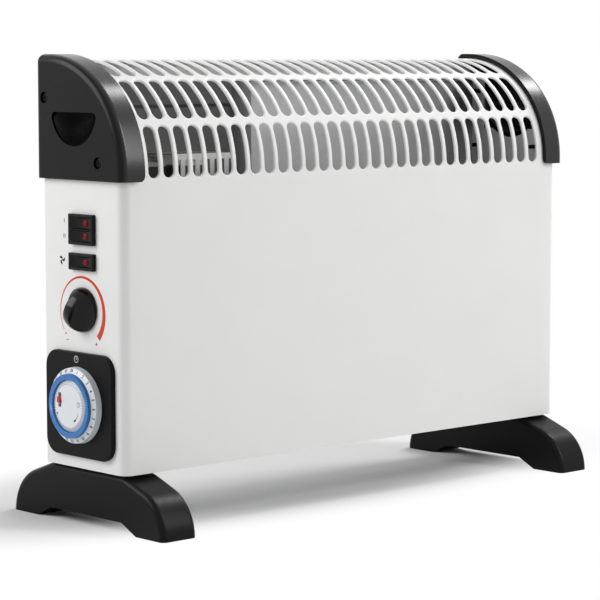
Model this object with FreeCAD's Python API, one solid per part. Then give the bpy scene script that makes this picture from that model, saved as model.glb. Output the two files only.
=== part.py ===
import FreeCAD, Part
import math
import os

# Convector heater on two feet, with its controls on one end
# Millimetres, +Z up, front towards -Y, controls on the -X end
# The origin is on the floor, under the middle of the overall box

V = FreeCAD.Vector
ALONG_X = V(1, 0, 0)
ALONG_Y = V(0, 1, 0)
ALONG_Z = V(0, 0, 1)

# Sheet steel casing
casing_length = 518.0
casing_depth = 103.4
casing_bottom = 48.0
casing_top = 382.4
casing_shift = -4.3
sheet = 0.8
corner_radius = 9.0
front_arc_radius = 89.9
arc_joint_angle = 35.0
top_flat = 6.6
front_flange = 14.0
side_flange = 44.0
rear_flange = 12.0
rear_lip = 17.9
rear_bend_radius = 6.0
end_wall_drop = 66.4
end_upright_width = 11.0

# Slots of the grille
slot_width = 13.2
slot_length = 43.0
slot_pitch = 15.62
slot_row_pitch = 49.5
slot_lip_depth = 4.0
slot_lip_wall = 0.8
grille_end_margin = 24.0
grille_top_margin = 6.0
grille_rise = 2.4

# Plastic end caps
cap_height = 97.4
cap_band = 23.7
cap_overhang = 4.2
cap_wall = 2.2
cap_band_wall = 4.1
cap_rear_wall = 5.6
cap_band_corner = 5.0
cap_gap = 0.3
cap_edge_radius = 6.5
cap_inner_radius = 3.0
cap_corner_radius = 6.8
handle_width = 58.8
handle_height = 27.5
handle_drop = 42.6
handle_shift = 6.6
handle_depth = 22.0
handle_wall = 2.0
handle_side = 5.0
handle_corner = 4.0
handle_ball_radius = 33.5
handle_ball_rise = 3.0
handle_notch_gap = 2.5
cap_pad_radius = 6.5
cap_screw_recess = 4.8
cap_screw_depth = 3.4
cap_rear_screw_drop = 31.2
cap_front_screw_rise = 14.5
cap_front_screw_inset = 27.4

# Plastic feet
foot_length = 201.0
foot_width = 36.0
foot_inset = 2.7
foot_end_radius = 39.5
foot_slope = 20.0
foot_shoulder_radius = 30.0
foot_neck = 1.0
foot_neck_inset = 4.0
foot_wall = 3.0
foot_edge_radius = 5.0
arch_height = 9.0
arch_top_half = 47.5
arch_base_half = 66.0
arch_opening_margin = 8.0
foot_boss_radius = 6.5
foot_boss_spread = 30.0
foot_screw_depth = 20.0

# Screws
screw_radius = 1.9
screw_hole_gap = 0.15
screw_head_radius = 3.8
screw_head_height = 2.2
screw_head_round = 1.3
screw_grip = 6.0
screw_recess_radius = 2.4
screw_cross_width = 0.9
screw_cross_depth = 1.0

# Back panel
panel_edge_gap = 0.6
panel_top_gap = 6.6
bead_height = 16.0
bead_depth = 3.0
bead_slope = 3.0
bead_round_share = 0.8
bead_end_margin = 60.0
bead_inset = 46.0
intake_slot_width = 8.0
intake_slot_rise = 9.0
panel_screw_inset = 7.5
panel_vent_rise = 16.0
panel_vent_length = 30.0
panel_vent_width = 6.0
panel_vent_pitch = 14.0

# Base plate and partition
plate_fit = 0.3
inlet_width = 7.0
inlet_length = 50.0
inlet_pitch = 14.0
partition_inset = 66.0
partition_drop = 12.0
partition_foot = 12.0
inner_sheet = 1.0

# Heat shield
shield_left = -37.0
shield_right_gap = 2.0
shield_standoff = 8.0
shield_sheet = 0.6
shield_rise = 28.0
shield_drop = 20.0
shield_lip = 6.0
shield_tab = 12.0
shield_screw_spread = 57.0

# Heating elements
element_start = 96.0
element_end_gap = 52.0
board_height = 34.0
board_rise = 52.0
board_thick = 1.0
board_spread = 22.0
ribbon_width = 2.4
ribbon_thick = 0.5
ribbon_pitch = 8.0
ribbon_margin = 4.0
bracket_overlap = 6.0
bracket_margin = 10.0
bracket_foot = 14.0
board_slot_gap = 0.2

# Turbo fan
fan_inset = 140.0
fan_guard_width = 62.0
fan_guard_height = 72.0
fan_guard_drop = 79.9
fan_guard_depth = 39.4
fan_bar_width = 5.0
fan_bar_pitch = 16.2
fan_rail_height = 5.0
fan_hub_plate = 30.0
fan_radius = 26.0
fan_blade_count = 5
fan_blade_thick = 1.2
fan_blade_chord = 9.0
fan_blade_root = 1.2
fan_blade_pitch = 35.0
fan_hub_radius = 6.0
fan_hub_length = 8.0
motor_width = 42.0
motor_height = 36.0
motor_stack = 14.0
rotor_radius = 10.0
rotor_gap = 0.3
rotor_end_gap = 0.5
fan_shaft_radius = 1.5
running_gap = 0.05
bridge_width = 30.0
bridge_height = 9.0
bridge_thick = 2.0
bridge_leg = 4.0
coil_width = 20.0
coil_thick = 5.0
motor_leg = 7.5

# Thermal cut-out, terminal block and cord gland
cutout_radius = 8.5
cutout_height = 7.0
cutout_share = 0.65
cutout_rise = 150.0
cutout_plate_length = 34.0
cutout_plate_width = 12.0
terminal_length = 44.0
terminal_width = 20.0
terminal_inset = 29.0
terminal_height = 16.0
terminal_count = 4
terminal_hole_radius = 2.6
terminal_screw_radius = 2.0
terminal_wire_rise = 5.5
terminal_notch = 5.0
terminal_notch_depth = 6.5
gland_inset = 36.0
gland_rise = 30.0
gland_bore_radius = 4.0
gland_body_radius = 7.5
gland_flange_radius = 10.0
gland_flange = 3.0
gland_reach = 9.0
gland_nut_size = 20.0
gland_nut = 5.0

# Places of the controls, as shares of the end wall between its bottom edge and the cap
heat_switch_share = 0.8308
fan_switch_share = 0.7198
knob_share = 0.554
timer_share = 0.2236
switch_shift = -0.1
knob_shift = 0.9
timer_shift = 3.7

# Rocker switches
bezel_length = 32.2
bezel_proud = 3.8
heat_bezel_height = 25.2
fan_bezel_height = 14.0
bezel_rim = 1.6
bezel_corner = 1.0
bezel_edge = 0.7
switch_wall = 0.9
switch_depth = 20.0
switch_fit = 0.2
rocker_gap = 0.3
rocker_half = 12.2
rocker_rise = 5.0
rocker_dip = 3.2
rocker_pivot_depth = 4.0
rocker_foot_depth = 8.0
rocker_foot_half = 8.5
rocker_tilt = 8.0
rocker_pin_radius = 1.2
rocker_pin_length = 0.65
rocker_chamfer = 0.4
lens_radius = 2.6
lens_offset = 5.5
lens_proud = 1.1
lens_seat = 1.2
lens_dome_share = 0.95
terminal_blade_width = 6.3
terminal_blade_thick = 0.8
terminal_blade_length = 8.0
terminal_blade_pitch = 8.0

# Thermostat
knob_radius = 18.5
knob_height = 17.1
knob_lift = 0.6
knob_skirt = 1.2
knob_grip_half = 3.8
knob_scoop_radius = 16.0
knob_scoop_rise = 17.9
knob_turn = 27.0
knob_recess_radius = 9.0
knob_recess_depth = 4.0
thermostat_depth = 24.0
thermostat_width = 38.0
thermostat_height = 26.0
neck_radius = 5.0
neck_reach = 4.0
neck_nut = 2.5
neck_nut_size = 14.0
knob_shaft_radius = 3.0
knob_shaft_reach = 13.0
knob_shaft_seat = 12.0

# Timer
timer_plate_height = 86.5
timer_plate_margin = 6.5
timer_plate_thick = 4.0
timer_plate_corner = 14.0
timer_plate_edge = 1.2
timer_peg_radius = 1.5
timer_peg_spread = 30.0
timer_case_size = 66.0
timer_case_depth = 27.0
timer_flange = 2.5
timer_flange_rim = 5.0
timer_peg_end = 0.6
timer_motor_radius = 17.0
timer_motor_depth = 12.0
timer_neck_radius = 22.0
timer_post_radius = 4.0
dial_radius = 31.6
dial_gap = 0.4
dial_rim = 5.2
dial_draft = 0.6
dial_height = 7.1
dial_floor = 1.0
dial_ring_wall = 0.5
dial_hub_radius = 7.0
dial_hub_height = 3.0
dial_well_radius = 20.0
tappet_count = 96
tappet_groups = 8
tappet_inner_radius = 21.9
tappet_outer_radius = 26.4
tappet_gap = 0.12
tappet_fill = 0.78
tappet_proud = 2.9
tappet_length = 5.6
centre_disc_radius = 18.2
centre_disc_flare = 3.2
centre_disc_thick = 1.6
centre_disc_proud = 2.5
selector_y = 12.0
selector_z = 4.4
selector_slot_length = 12.0
selector_slot_width = 3.6
selector_length = 4.6
selector_proud = 1.6
selector_gap = 0.1
selector_flange = 0.8

# Reach of a cutting tool past the face that it cuts
past = 1.0

# End radius of a plain slot as a share of its width
slot_end_share = 0.49

# How near a point is to a plane to count as on it, and a direction's cosine to count as along an axis
on_plane = 0.01
along_axis = 0.9

# Places worked out from the sizes above
knob_reach = knob_lift + knob_height
centre_x = (knob_reach - cap_overhang) / 2
left_x = centre_x - casing_length / 2
right_x = centre_x + casing_length / 2
front_y = casing_shift - casing_depth / 2
rear_y = casing_shift + casing_depth / 2
panel_rear_y = rear_y + sheet
cap_rear_y = panel_rear_y + cap_gap + cap_rear_wall
cap_bottom = casing_top - cap_height
end_wall_top = casing_top - end_wall_drop
upright_top = casing_top - rear_lip
floor_z = casing_bottom + 2 * sheet
inner_left_x = left_x + sheet
inner_front_y = front_y + sheet
joint_angle = math.radians(arc_joint_angle)
top_arc_radius = front_arc_radius + (casing_depth - top_flat - front_arc_radius) / math.sin(joint_angle)
top_centre_y = rear_y - top_flat
top_centre_z = casing_top - top_arc_radius
front_centre_y = front_y + front_arc_radius
front_centre_z = top_centre_z + (top_arc_radius - front_arc_radius) * math.cos(joint_angle)
front_arc_length = front_arc_radius * (math.pi / 2 - joint_angle)
top_arc_length = top_arc_radius * joint_angle
outline_length = front_arc_length + top_arc_length + top_flat
end_wall_height = cap_bottom - casing_bottom
screw_hole_radius = screw_radius + screw_hole_gap


def box(x0, x1, y0, y1, z0, z1):
    """Block between two corners."""
    return Part.makeBox(x1 - x0, y1 - y0, z1 - z0, V(x0, y0, z0))


def rod(radius, start, axis, length):
    """Round bar from a point along an axis."""
    return Part.makeCylinder(radius, length, V(*start), axis)


def runs_along(edge, axis):
    """Whether an edge starts out along an axis."""
    return abs(edge.tangentAt(edge.FirstParameter).dot(axis)) > along_axis


def rounded_box(x0, x1, y0, y1, z0, z1, radius, axis):
    """Block whose four edges along one axis are rounded."""
    block = box(x0, x1, y0, y1, z0, z1)
    edges = [edge for edge in block.Edges if runs_along(edge, axis)]
    return block.makeFillet(radius, edges)


def edges_at(shape, x):
    """Edges of a shape that lie in the plane of a given x."""
    return [edge for edge in shape.Edges if all(abs(vertex.X - x) < on_plane for vertex in edge.Vertexes)]


def joined(shapes):
    """One solid from shapes that touch or overlap."""
    return shapes[0].fuse(shapes[1:]).removeSplitter()


def mirrored(shape):
    """Copy on the other end of the heater."""
    return shape.mirror(V(centre_x, 0, 0), ALONG_X)


def line(start, end):
    return Part.LineSegment(start, end).toShape()


def arc(start, middle, end):
    return Part.Arc(start, middle, end).toShape()


def outline_frame(run):
    """Point of the casing's front and top outline, and its outward normal, at a length along it.

    The length is 0 where the flat front ends, negative below that, and grows over the top.
    """
    if run <= 0:
        return V(0, front_y, front_centre_z + run), V(0, -1, 0)
    if run <= front_arc_length:
        angle = run / front_arc_radius
        normal = V(0, -math.cos(angle), math.sin(angle))
        return V(0, front_centre_y, front_centre_z) + normal * front_arc_radius, normal
    if run <= front_arc_length + top_arc_length:
        angle = math.pi / 2 - joint_angle + (run - front_arc_length) / top_arc_radius
        normal = V(0, -math.cos(angle), math.sin(angle))
        return V(0, top_centre_y, top_centre_z) + normal * top_arc_radius, normal
    over = run - front_arc_length - top_arc_length
    return V(0, top_centre_y + over, casing_top), ALONG_Z


def outline_point(run, offset):
    """Point at a length along the outline, moved outwards by an offset."""
    point, normal = outline_frame(run)
    return point + normal * offset


def outline_edges(start, end, offset):
    """Lines and arcs of the outline between two lengths, moved outwards by an offset."""
    joints = [0, front_arc_length, front_arc_length + top_arc_length]
    stops = [start] + [joint for joint in joints if start < joint < end] + [end]
    edges = []
    for low, high in zip(stops, stops[1:]):
        middle = (low + high) / 2
        first = outline_point(low, offset)
        last = outline_point(high, offset)
        if 0 < middle < front_arc_length + top_arc_length:
            edges.append(arc(first, outline_point(middle, offset), last))
        else:
            edges.append(line(first, last))
    return edges


def outline_band(start, end, inner, outer, x0, x1):
    """Curved strip of the outline between two offsets, from x0 to x1."""
    edges = outline_edges(start, end, inner) + outline_edges(start, end, outer)
    edges.append(line(outline_point(start, inner), outline_point(start, outer)))
    edges.append(line(outline_point(end, inner), outline_point(end, outer)))
    face = Part.Face(Part.Wire(Part.__sortEdges__(edges)))
    strip = face.extrude(V(x1 - x0, 0, 0))
    strip.translate(V(x0, 0, 0))
    return strip


def rounded_wire(corners, radii):
    """Closed wire through corners, each rounded by its radius where that is above 0."""
    count = len(corners)
    edges = []
    ends = []
    for index in range(count):
        corner = corners[index]
        back = (corners[index - 1] - corner).normalize()
        ahead = (corners[(index + 1) % count] - corner).normalize()
        radius = radii[index]
        if radius == 0:
            ends.append((corner, corner))
            continue
        half = back.getAngle(ahead) / 2
        reach = radius / math.tan(half)
        middle_way = (back + ahead).normalize()
        middle = corner + middle_way * (radius / math.sin(half) - radius)
        ends.append((corner + back * reach, corner + ahead * reach))
        edges.append(arc(ends[-1][0], middle, ends[-1][1]))
    for index in range(count):
        edges.append(line(ends[index - 1][1], ends[index][0]))
    return Part.Wire(Part.__sortEdges__(edges))


def prism(corners, radii, travel):
    """Solid from a rounded closed outline, carried along a vector."""
    return Part.Face(rounded_wire(corners, radii)).extrude(travel)


def hexagon(size, start, axis, side, length):
    """Hexagonal bar by its width across flats, along an axis, with one corner towards side."""
    across = axis.cross(side)
    reach = size / 2 / math.cos(math.pi / 6)
    turns = [math.pi / 3 * step for step in range(6)]
    corners = [start + (side * math.cos(turn) + across * math.sin(turn)) * reach for turn in turns]
    return prism(corners, [0] * 6, axis * length)


def screw(head_seat, axis, length):
    """Pan head screw with a cross recess: head behind its seat, shank along the axis."""
    seat = V(*head_seat)
    head = Part.makeCylinder(screw_head_radius, screw_head_height, seat, axis * -1)
    crown = seat - axis * screw_head_height
    top = [edge for edge in head.Edges if abs((edge.CenterOfMass - crown).dot(axis)) < on_plane]
    head = head.makeFillet(screw_head_round, top)
    shank = Part.makeCylinder(screw_radius, length, seat, axis)
    side = ALONG_X if abs(axis.z) > along_axis else ALONG_Z
    across = axis.cross(side)
    cross = []
    for way in (side, across):
        other = axis.cross(way)
        start = crown - way * screw_recess_radius - other * (screw_cross_width / 2)
        corners = [start, start + way * (2 * screw_recess_radius)]
        corners += [corners[1] + other * screw_cross_width, start + other * screw_cross_width]
        cross.append(prism(corners, [0] * 4, axis * screw_cross_depth))
    return joined([head, shank]).cut(cross)


# Places of the fasteners
cap_screw_places = [
    (rear_y - end_upright_width / 2, casing_top - cap_rear_screw_drop),
    (front_y + cap_front_screw_inset, cap_bottom + cap_front_screw_rise),
]
cap_rear_screw_heights = [cap_bottom + cap_front_screw_rise, casing_top - cap_rear_screw_drop]
panel_screw_heights = [casing_bottom + panel_screw_inset, (casing_bottom + cap_bottom) / 2]
foot_screw_x = left_x + foot_inset + foot_width / 2
foot_screw_places = [(foot_screw_x, -foot_boss_spread), (foot_screw_x, foot_boss_spread)]

# Places of the controls
switch_y = casing_shift + switch_shift
heat_switch_z = casing_bottom + heat_switch_share * end_wall_height
fan_switch_z = casing_bottom + fan_switch_share * end_wall_height
knob_y = casing_shift + knob_shift
knob_z = casing_bottom + knob_share * end_wall_height
timer_y = casing_shift + timer_shift
timer_z = casing_bottom + timer_share * end_wall_height
timer_pegs = [
    (timer_y + side * timer_peg_spread, timer_z + rise * timer_peg_spread)
    for side in (-1, 1)
    for rise in (-1, 1)
]

# Places of the inner pieces
shield_y = rear_y - shield_standoff
shield_right = right_x - rear_flange - shield_right_gap
shield_bottom = casing_bottom + shield_rise
shield_top = casing_top - shield_drop
partition_x = left_x + partition_inset
element_x0 = left_x + element_start
element_x1 = right_x - element_end_gap
board_bottom = floor_z + board_rise
board_ys = [casing_shift - board_spread / 2, casing_shift + board_spread / 2]
fan_x = left_x + fan_inset
fan_top = casing_top - fan_guard_drop
fan_z = fan_top - fan_guard_height / 2
fan_front_y = rear_y - fan_guard_depth
gland_x = left_x + gland_inset
gland_z = casing_bottom + gland_rise


def handle_outline(x, grow):
    """Half-moon outline of the hand recess in the plane of a given x, grown all round."""
    middle = casing_shift + handle_shift
    half = handle_width / 2 + grow
    top = casing_top - handle_drop + grow
    side = casing_top - handle_drop - handle_side
    bottom = casing_top - handle_drop - handle_height - grow
    corner = handle_corner + grow
    slant = math.sqrt(0.5) * corner
    edges = [
        line(V(x, middle - half + corner, top), V(x, middle + half - corner, top)),
        arc(V(x, middle + half, side), V(x, middle, bottom), V(x, middle - half, side)),
    ]
    for way in (1, -1):
        end = middle + way * half
        bend_start = V(x, end - way * corner, top)
        bend_middle = V(x, end - way * (corner - slant), top - corner + slant)
        bend_end = V(x, end, top - corner)
        edges.append(arc(bend_start, bend_middle, bend_end))
        edges.append(line(bend_end, V(x, end, side)))
    return Part.Wire(Part.__sortEdges__(edges))


def handle_solid(x0, x1, grow):
    """Half-moon block of the hand recess."""
    return Part.Face(handle_outline(x0, grow)).extrude(V(x1 - x0, 0, 0))


def handle_bowl(x0, grow):
    """Bowl of the hand recess from a given x inwards: its half-moon block rounded off by a ball."""
    floor_x = left_x - cap_overhang + handle_depth
    middle = V(floor_x - handle_ball_radius, casing_shift + handle_shift,
               casing_top - handle_drop + handle_ball_rise)
    ball = Part.makeSphere(handle_ball_radius + grow, middle)
    return handle_solid(x0, floor_x + grow + past, grow).common(ball)


def slot_columns():
    """X of each column of slots."""
    count = int((casing_length - 2 * grille_end_margin) / slot_pitch)
    return [centre_x + (index - (count - 1) / 2) * slot_pitch for index in range(count)]


def slot_rows():
    """Length along the outline where each row of slots starts."""
    first = cap_bottom + grille_rise - front_centre_z
    room = outline_length - top_flat - grille_top_margin - first
    count = int((room + slot_row_pitch - slot_length) / slot_row_pitch)
    return [first + index * slot_row_pitch for index in range(count)]


def slot_block(start, half_width, inner, outer):
    """Round-ended block along the outline, centred on x = 0."""
    tip = slot_width / 2
    low = start + tip
    high = start + slot_length - tip
    block = [outline_band(low, high, inner, outer, -half_width, half_width)]
    for run in (low, high):
        normal = outline_frame(run)[1]
        foot = outline_point(run, inner)
        block.append(Part.makeCylinder(half_width, outer - inner, foot, normal))
    return joined(block)


def rear_bend(top):
    """Rounds the fold between the casing's top and its rear lip, inside first."""
    for depth in (sheet, 0):
        y = rear_y - depth
        z = casing_top - depth
        fold = [edge for edge in top.Edges if runs_along(edge, ALONG_X)
                and abs(edge.CenterOfMass.y - y) < on_plane and abs(edge.CenterOfMass.z - z) < on_plane]
        top = top.makeFillet(rear_bend_radius - depth, fold)
    return top


def front_casing():
    """Front, both ends and the slotted curved top, folded from one sheet."""
    walls = rounded_box(left_x, right_x, front_y, rear_y + 2 * corner_radius, casing_bottom,
                        front_centre_z, corner_radius, ALONG_Z)
    hollow = rounded_box(inner_left_x, right_x - sheet, inner_front_y, rear_y + 3 * corner_radius,
                         casing_bottom - past, front_centre_z + past, corner_radius - sheet, ALONG_Z)
    behind = box(left_x - past, right_x + past, rear_y, rear_y + 4 * corner_radius,
                 casing_bottom - past, front_centre_z + past)
    walls = walls.cut([hollow, behind])

    flange = rounded_box(left_x, right_x, front_y, rear_y + 2 * corner_radius, casing_bottom,
                         casing_bottom + sheet, corner_radius, ALONG_Z)
    opening = box(left_x + side_flange, right_x - side_flange, front_y + front_flange,
                  rear_y + 3 * corner_radius, casing_bottom - past, casing_bottom + sheet + past)
    flange = flange.cut([opening, behind])

    top_x0 = left_x + corner_radius
    top_x1 = right_x - corner_radius
    top = outline_band(0, outline_length, -sheet, 0, top_x0, top_x1)
    lip = box(top_x0, top_x1, rear_y - sheet, rear_y, upright_top, casing_top)
    top = rear_bend(joined([top, lip]))

    ends = []
    for x0, inward in ((left_x, 1), (right_x, -1)):
        x1 = x0 + inward * sheet
        x2 = x0 + inward * rear_flange
        low, high = min(x0, x1), max(x0, x1)
        ends.append(box(low, high, front_y + corner_radius, rear_y, front_centre_z, end_wall_top))
        ends.append(box(low, high, rear_y - end_upright_width, rear_y, front_centre_z, upright_top))
        ends.append(box(min(x0, x2), max(x0, x2), rear_y - sheet, rear_y, casing_bottom, upright_top))
    shell = joined([walls, flange, top] + ends)

    collars = []
    cutters = []
    for start in slot_rows():
        collar = slot_block(start, slot_width / 2 + slot_lip_wall, -slot_lip_depth, -sheet / 2)
        cutter = slot_block(start, slot_width / 2, -slot_lip_depth - past, past)
        for x in slot_columns():
            collars.append(collar.translated(V(x, 0, 0)))
            cutters.append(cutter.translated(V(x, 0, 0)))
    shell = shell.fuse(collars)
    return shell.cut(cutters + casing_holes())


def casing_holes():
    """Cut-outs of the end walls, the flanges and the controls."""
    notch_grow = handle_wall + handle_notch_gap
    through = sheet + 2 * past
    holes = []
    for x in (left_x, right_x):
        holes.append(handle_solid(x - sheet - past, x + sheet + past, notch_grow))
        for y, z in cap_screw_places:
            holes.append(rod(screw_hole_radius, (x - sheet - past, y, z), ALONG_X, 2 * (sheet + past)))
    for x in (left_x + panel_screw_inset, right_x - panel_screw_inset):
        for z in panel_screw_heights + cap_rear_screw_heights:
            holes.append(rod(screw_hole_radius, (x, rear_y - sheet - past, z), ALONG_Y, through))
    for x, y in foot_screw_places:
        for place in (x, 2 * centre_x - x):
            holes.append(rod(screw_hole_radius, (place, y, casing_bottom - past), ALONG_Z, through))
    for z, height in ((heat_switch_z, heat_bezel_height), (fan_switch_z, fan_bezel_height)):
        half_y = bezel_length / 2 - bezel_rim + switch_fit
        half_z = height / 2 - bezel_rim + switch_fit
        holes.append(box(left_x - past, inner_left_x + past, switch_y - half_y, switch_y + half_y,
                         z - half_z, z + half_z))
    outside = left_x - past
    holes.append(rod(neck_radius + switch_fit, (outside, knob_y, knob_z), ALONG_X, through))
    holes.append(rod(timer_neck_radius + switch_fit, (outside, timer_y, timer_z), ALONG_X, through))
    for y, z in timer_pegs:
        holes.append(rod(timer_peg_radius + screw_hole_gap, (outside, y, z), ALONG_X, through))
    return holes


def cap_face(x, offset, rear, bottom, corner):
    """Closed end outline of a cap in the plane of a given x, off the casing's outline."""
    edges = outline_edges(bottom - front_centre_z, front_arc_length + top_arc_length, offset)
    crown = outline_point(front_arc_length + top_arc_length, offset)
    top = crown.z
    slant = corner * (1 - math.sqrt(0.5))
    start = outline_point(bottom - front_centre_z, offset)
    edges.append(line(crown, V(0, rear - corner, top)))
    bend = V(0, rear - slant, top - slant)
    edges.append(arc(V(0, rear - corner, top), bend, V(0, rear, top - corner)))
    edges.append(line(V(0, rear, top - corner), V(0, rear, bottom)))
    edges.append(line(V(0, rear, bottom), start))
    face = Part.Face(Part.Wire(Part.__sortEdges__(edges)))
    face.translate(V(x, 0, 0))
    return face


def rim_edges(shape, x, bottom):
    """Edges of a cap solid that lie in the plane of a given x, without the bottom one."""
    level = bottom + on_plane
    return [edge for edge in edges_at(shape, x) if max(vertex.Z for vertex in edge.Vertexes) > level]


def left_end_cap():
    """Hollow cap over one end of the casing, with its hand recess and screw pads."""
    outer_x = left_x - cap_overhang
    wall_x = outer_x + cap_wall
    block = cap_face(outer_x, cap_gap + cap_band_wall, cap_rear_y, cap_bottom, cap_corner_radius)
    block = block.extrude(V(cap_band, 0, 0))
    low_edges = [edge for edge in edges_at(block, outer_x + cap_band)
                 if edge.CenterOfMass.z < cap_bottom + on_plane]
    block = block.makeFillet(cap_band_corner, low_edges)
    block = block.makeFillet(cap_edge_radius, rim_edges(block, outer_x, cap_bottom))
    cavity_bottom = cap_bottom - past
    cavity = cap_face(wall_x, cap_gap, panel_rear_y + cap_gap, cavity_bottom,
                      cap_corner_radius - cap_wall)
    cavity = cavity.extrude(V(cap_band, 0, 0))
    cavity = cavity.makeFillet(cap_inner_radius, rim_edges(cavity, wall_x, cavity_bottom))
    cup = handle_bowl(outer_x + cap_wall / 2, handle_wall)
    pads = [rod(cap_pad_radius, (outer_x + cap_wall / 2, y, z), ALONG_X, cap_overhang - cap_wall / 2)
            for y, z in cap_screw_places]
    shell = joined([block.cut(cavity), cup] + pads)

    tools = [handle_bowl(outer_x - past, 0)]
    for y, z in cap_screw_places:
        tools.append(rod(cap_screw_recess, (outer_x - past, y, z), ALONG_X, cap_screw_depth + past))
        tools.append(rod(screw_hole_radius, (outer_x - past, y, z), ALONG_X, cap_overhang + 2 * past))
    for z in cap_rear_screw_heights:
        place = (left_x + panel_screw_inset, panel_rear_y - past, z)
        tools.append(rod(screw_hole_radius, place, ALONG_Y, cap_rear_y - panel_rear_y + 2 * past))
    return shell.cut(tools)


def end_cap_screws():
    """Two screws in each cap's end and two through its rear edge."""
    length = cap_overhang - cap_screw_depth + sheet + screw_grip
    screws = []
    for y, z in cap_screw_places:
        screws.append(screw((left_x - cap_overhang + cap_screw_depth, y, z), ALONG_X, length))
    rear_length = cap_rear_y - rear_y + sheet + screw_grip
    for z in cap_rear_screw_heights:
        place = (left_x + panel_screw_inset, cap_rear_y, z)
        screws.append(screw(place, ALONG_Y * -1, rear_length))
    return Part.makeCompound(screws + [mirrored(item) for item in screws])


def foot_outline(x):
    """Side outline of a foot at a given x: rounded ends, sloping shoulders, arched underside."""
    half = foot_length / 2
    top = casing_bottom - foot_neck
    slope = math.radians(foot_slope)
    centre = half - foot_end_radius
    crest = V(x, centre + foot_end_radius * math.sin(slope), foot_end_radius * math.cos(slope))
    shoulder = V(x, crest.y - (top - crest.z) / math.tan(slope), top)
    reach = foot_shoulder_radius * math.tan(slope / 2)
    bend_low = shoulder + V(0, math.cos(slope), -math.sin(slope)) * reach
    bend_high = shoulder - V(0, reach, 0)
    bend_centre = bend_high - V(0, 0, foot_shoulder_radius)
    bend_middle = bend_centre + V(0, math.sin(slope / 2), math.cos(slope / 2)) * foot_shoulder_radius
    half_way = math.radians(90 - foot_slope) / 2
    end_middle = V(x, centre, 0) + V(0, math.cos(half_way), math.sin(half_way)) * foot_end_radius
    edges = []
    for side in (1, -1):
        points = [V(x, half, 0), end_middle, crest, bend_low, bend_middle, bend_high]
        points += [V(x, arch_base_half, 0), V(x, arch_top_half, arch_height)]
        points = [V(point.x, side * point.y, point.z) for point in points]
        edges.append(arc(points[0], points[1], points[2]))
        edges.append(line(points[2], points[3]))
        edges.append(arc(points[3], points[4], points[5]))
        edges.append(line(points[0], points[6]))
        edges.append(line(points[6], points[7]))
    edges.append(line(V(x, bend_high.y, top), V(x, -bend_high.y, top)))
    edges.append(line(V(x, arch_top_half, arch_height), V(x, -arch_top_half, arch_height)))
    return Part.Wire(Part.__sortEdges__(edges))


def left_foot():
    """Hollow arched foot with two screw bosses and a raised neck under the casing."""
    x0 = left_x + foot_inset
    x1 = x0 + foot_width
    top = casing_bottom - foot_neck
    block = Part.Face(foot_outline(x0)).extrude(V(foot_width, 0, 0))
    sides = edges_at(block, x0) + edges_at(block, x1)
    rims = [edge for edge in sides if edge.CenterOfMass.z > arch_height + past]
    block = block.makeFillet(foot_edge_radius, rims)
    cavity = Part.Face(foot_outline(x0 + foot_wall)).makeOffset2D(-foot_wall)
    cavity = cavity.extrude(V(foot_width - 2 * foot_wall, 0, 0))
    half_open = arch_top_half - arch_opening_margin
    opening = box(x0 + foot_wall, x1 - foot_wall, -half_open, half_open, arch_height - past,
                  arch_height + foot_wall + past)
    shell = block.cut([cavity, opening])
    bosses = [rod(foot_boss_radius, (x, y, arch_height), ALONG_Z, top - arch_height - foot_wall / 2)
              for x, y in foot_screw_places]
    neck_half = foot_boss_spread + foot_boss_radius + foot_neck_inset
    neck = box(x0 + foot_neck_inset, x1 - foot_neck_inset, -neck_half, neck_half, top - foot_wall / 2,
               casing_bottom)
    shell = joined([shell, neck] + bosses)
    tools = []
    for x, y in foot_screw_places:
        tools.append(rod(screw_hole_radius, (x, y, 0), ALONG_Z, casing_bottom + past))
        tools.append(rod(screw_head_radius + plate_fit, (x, y, arch_height - past), ALONG_Z,
                         foot_screw_depth + past))
    return shell.cut(tools)


def foot_screws():
    """Two screws in each foot, up through its bosses into the casing."""
    seat = arch_height + foot_screw_depth
    screws = [screw((x, y, seat), ALONG_Z, floor_z - seat + screw_grip) for x, y in foot_screw_places]
    return Part.makeCompound(screws + [mirrored(item) for item in screws])


def panel_bead(z):
    """Pressed stiffening bead of the back panel, as its outer block and its hollow."""
    x0 = left_x + bead_end_margin
    x1 = right_x - bead_end_margin
    blocks = []
    for start, wall in ((panel_rear_y, 0), (rear_y, sheet)):
        wires = []
        for lift, slope in ((0, 0), (bead_depth, bead_slope)):
            inset = slope + wall
            y = start + lift
            half = bead_height / 2 - inset
            corners = [V(x0 + inset, y, z - half), V(x1 - inset, y, z - half)]
            corners += [V(x1 - inset, y, z + half), V(x0 + inset, y, z + half)]
            wires.append(rounded_wire(corners, [half * bead_round_share] * 4))
        blocks.append(Part.makeLoft(wires, True, True))
    return blocks


def fan_slots():
    """X of each air slot of the back panel behind the fan."""
    half = fan_guard_width / 2 - fan_bar_width
    count = int(2 * half / slot_pitch) + 1
    return [fan_x + (index - (count - 1) / 2) * slot_pitch for index in range(count)]


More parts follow.
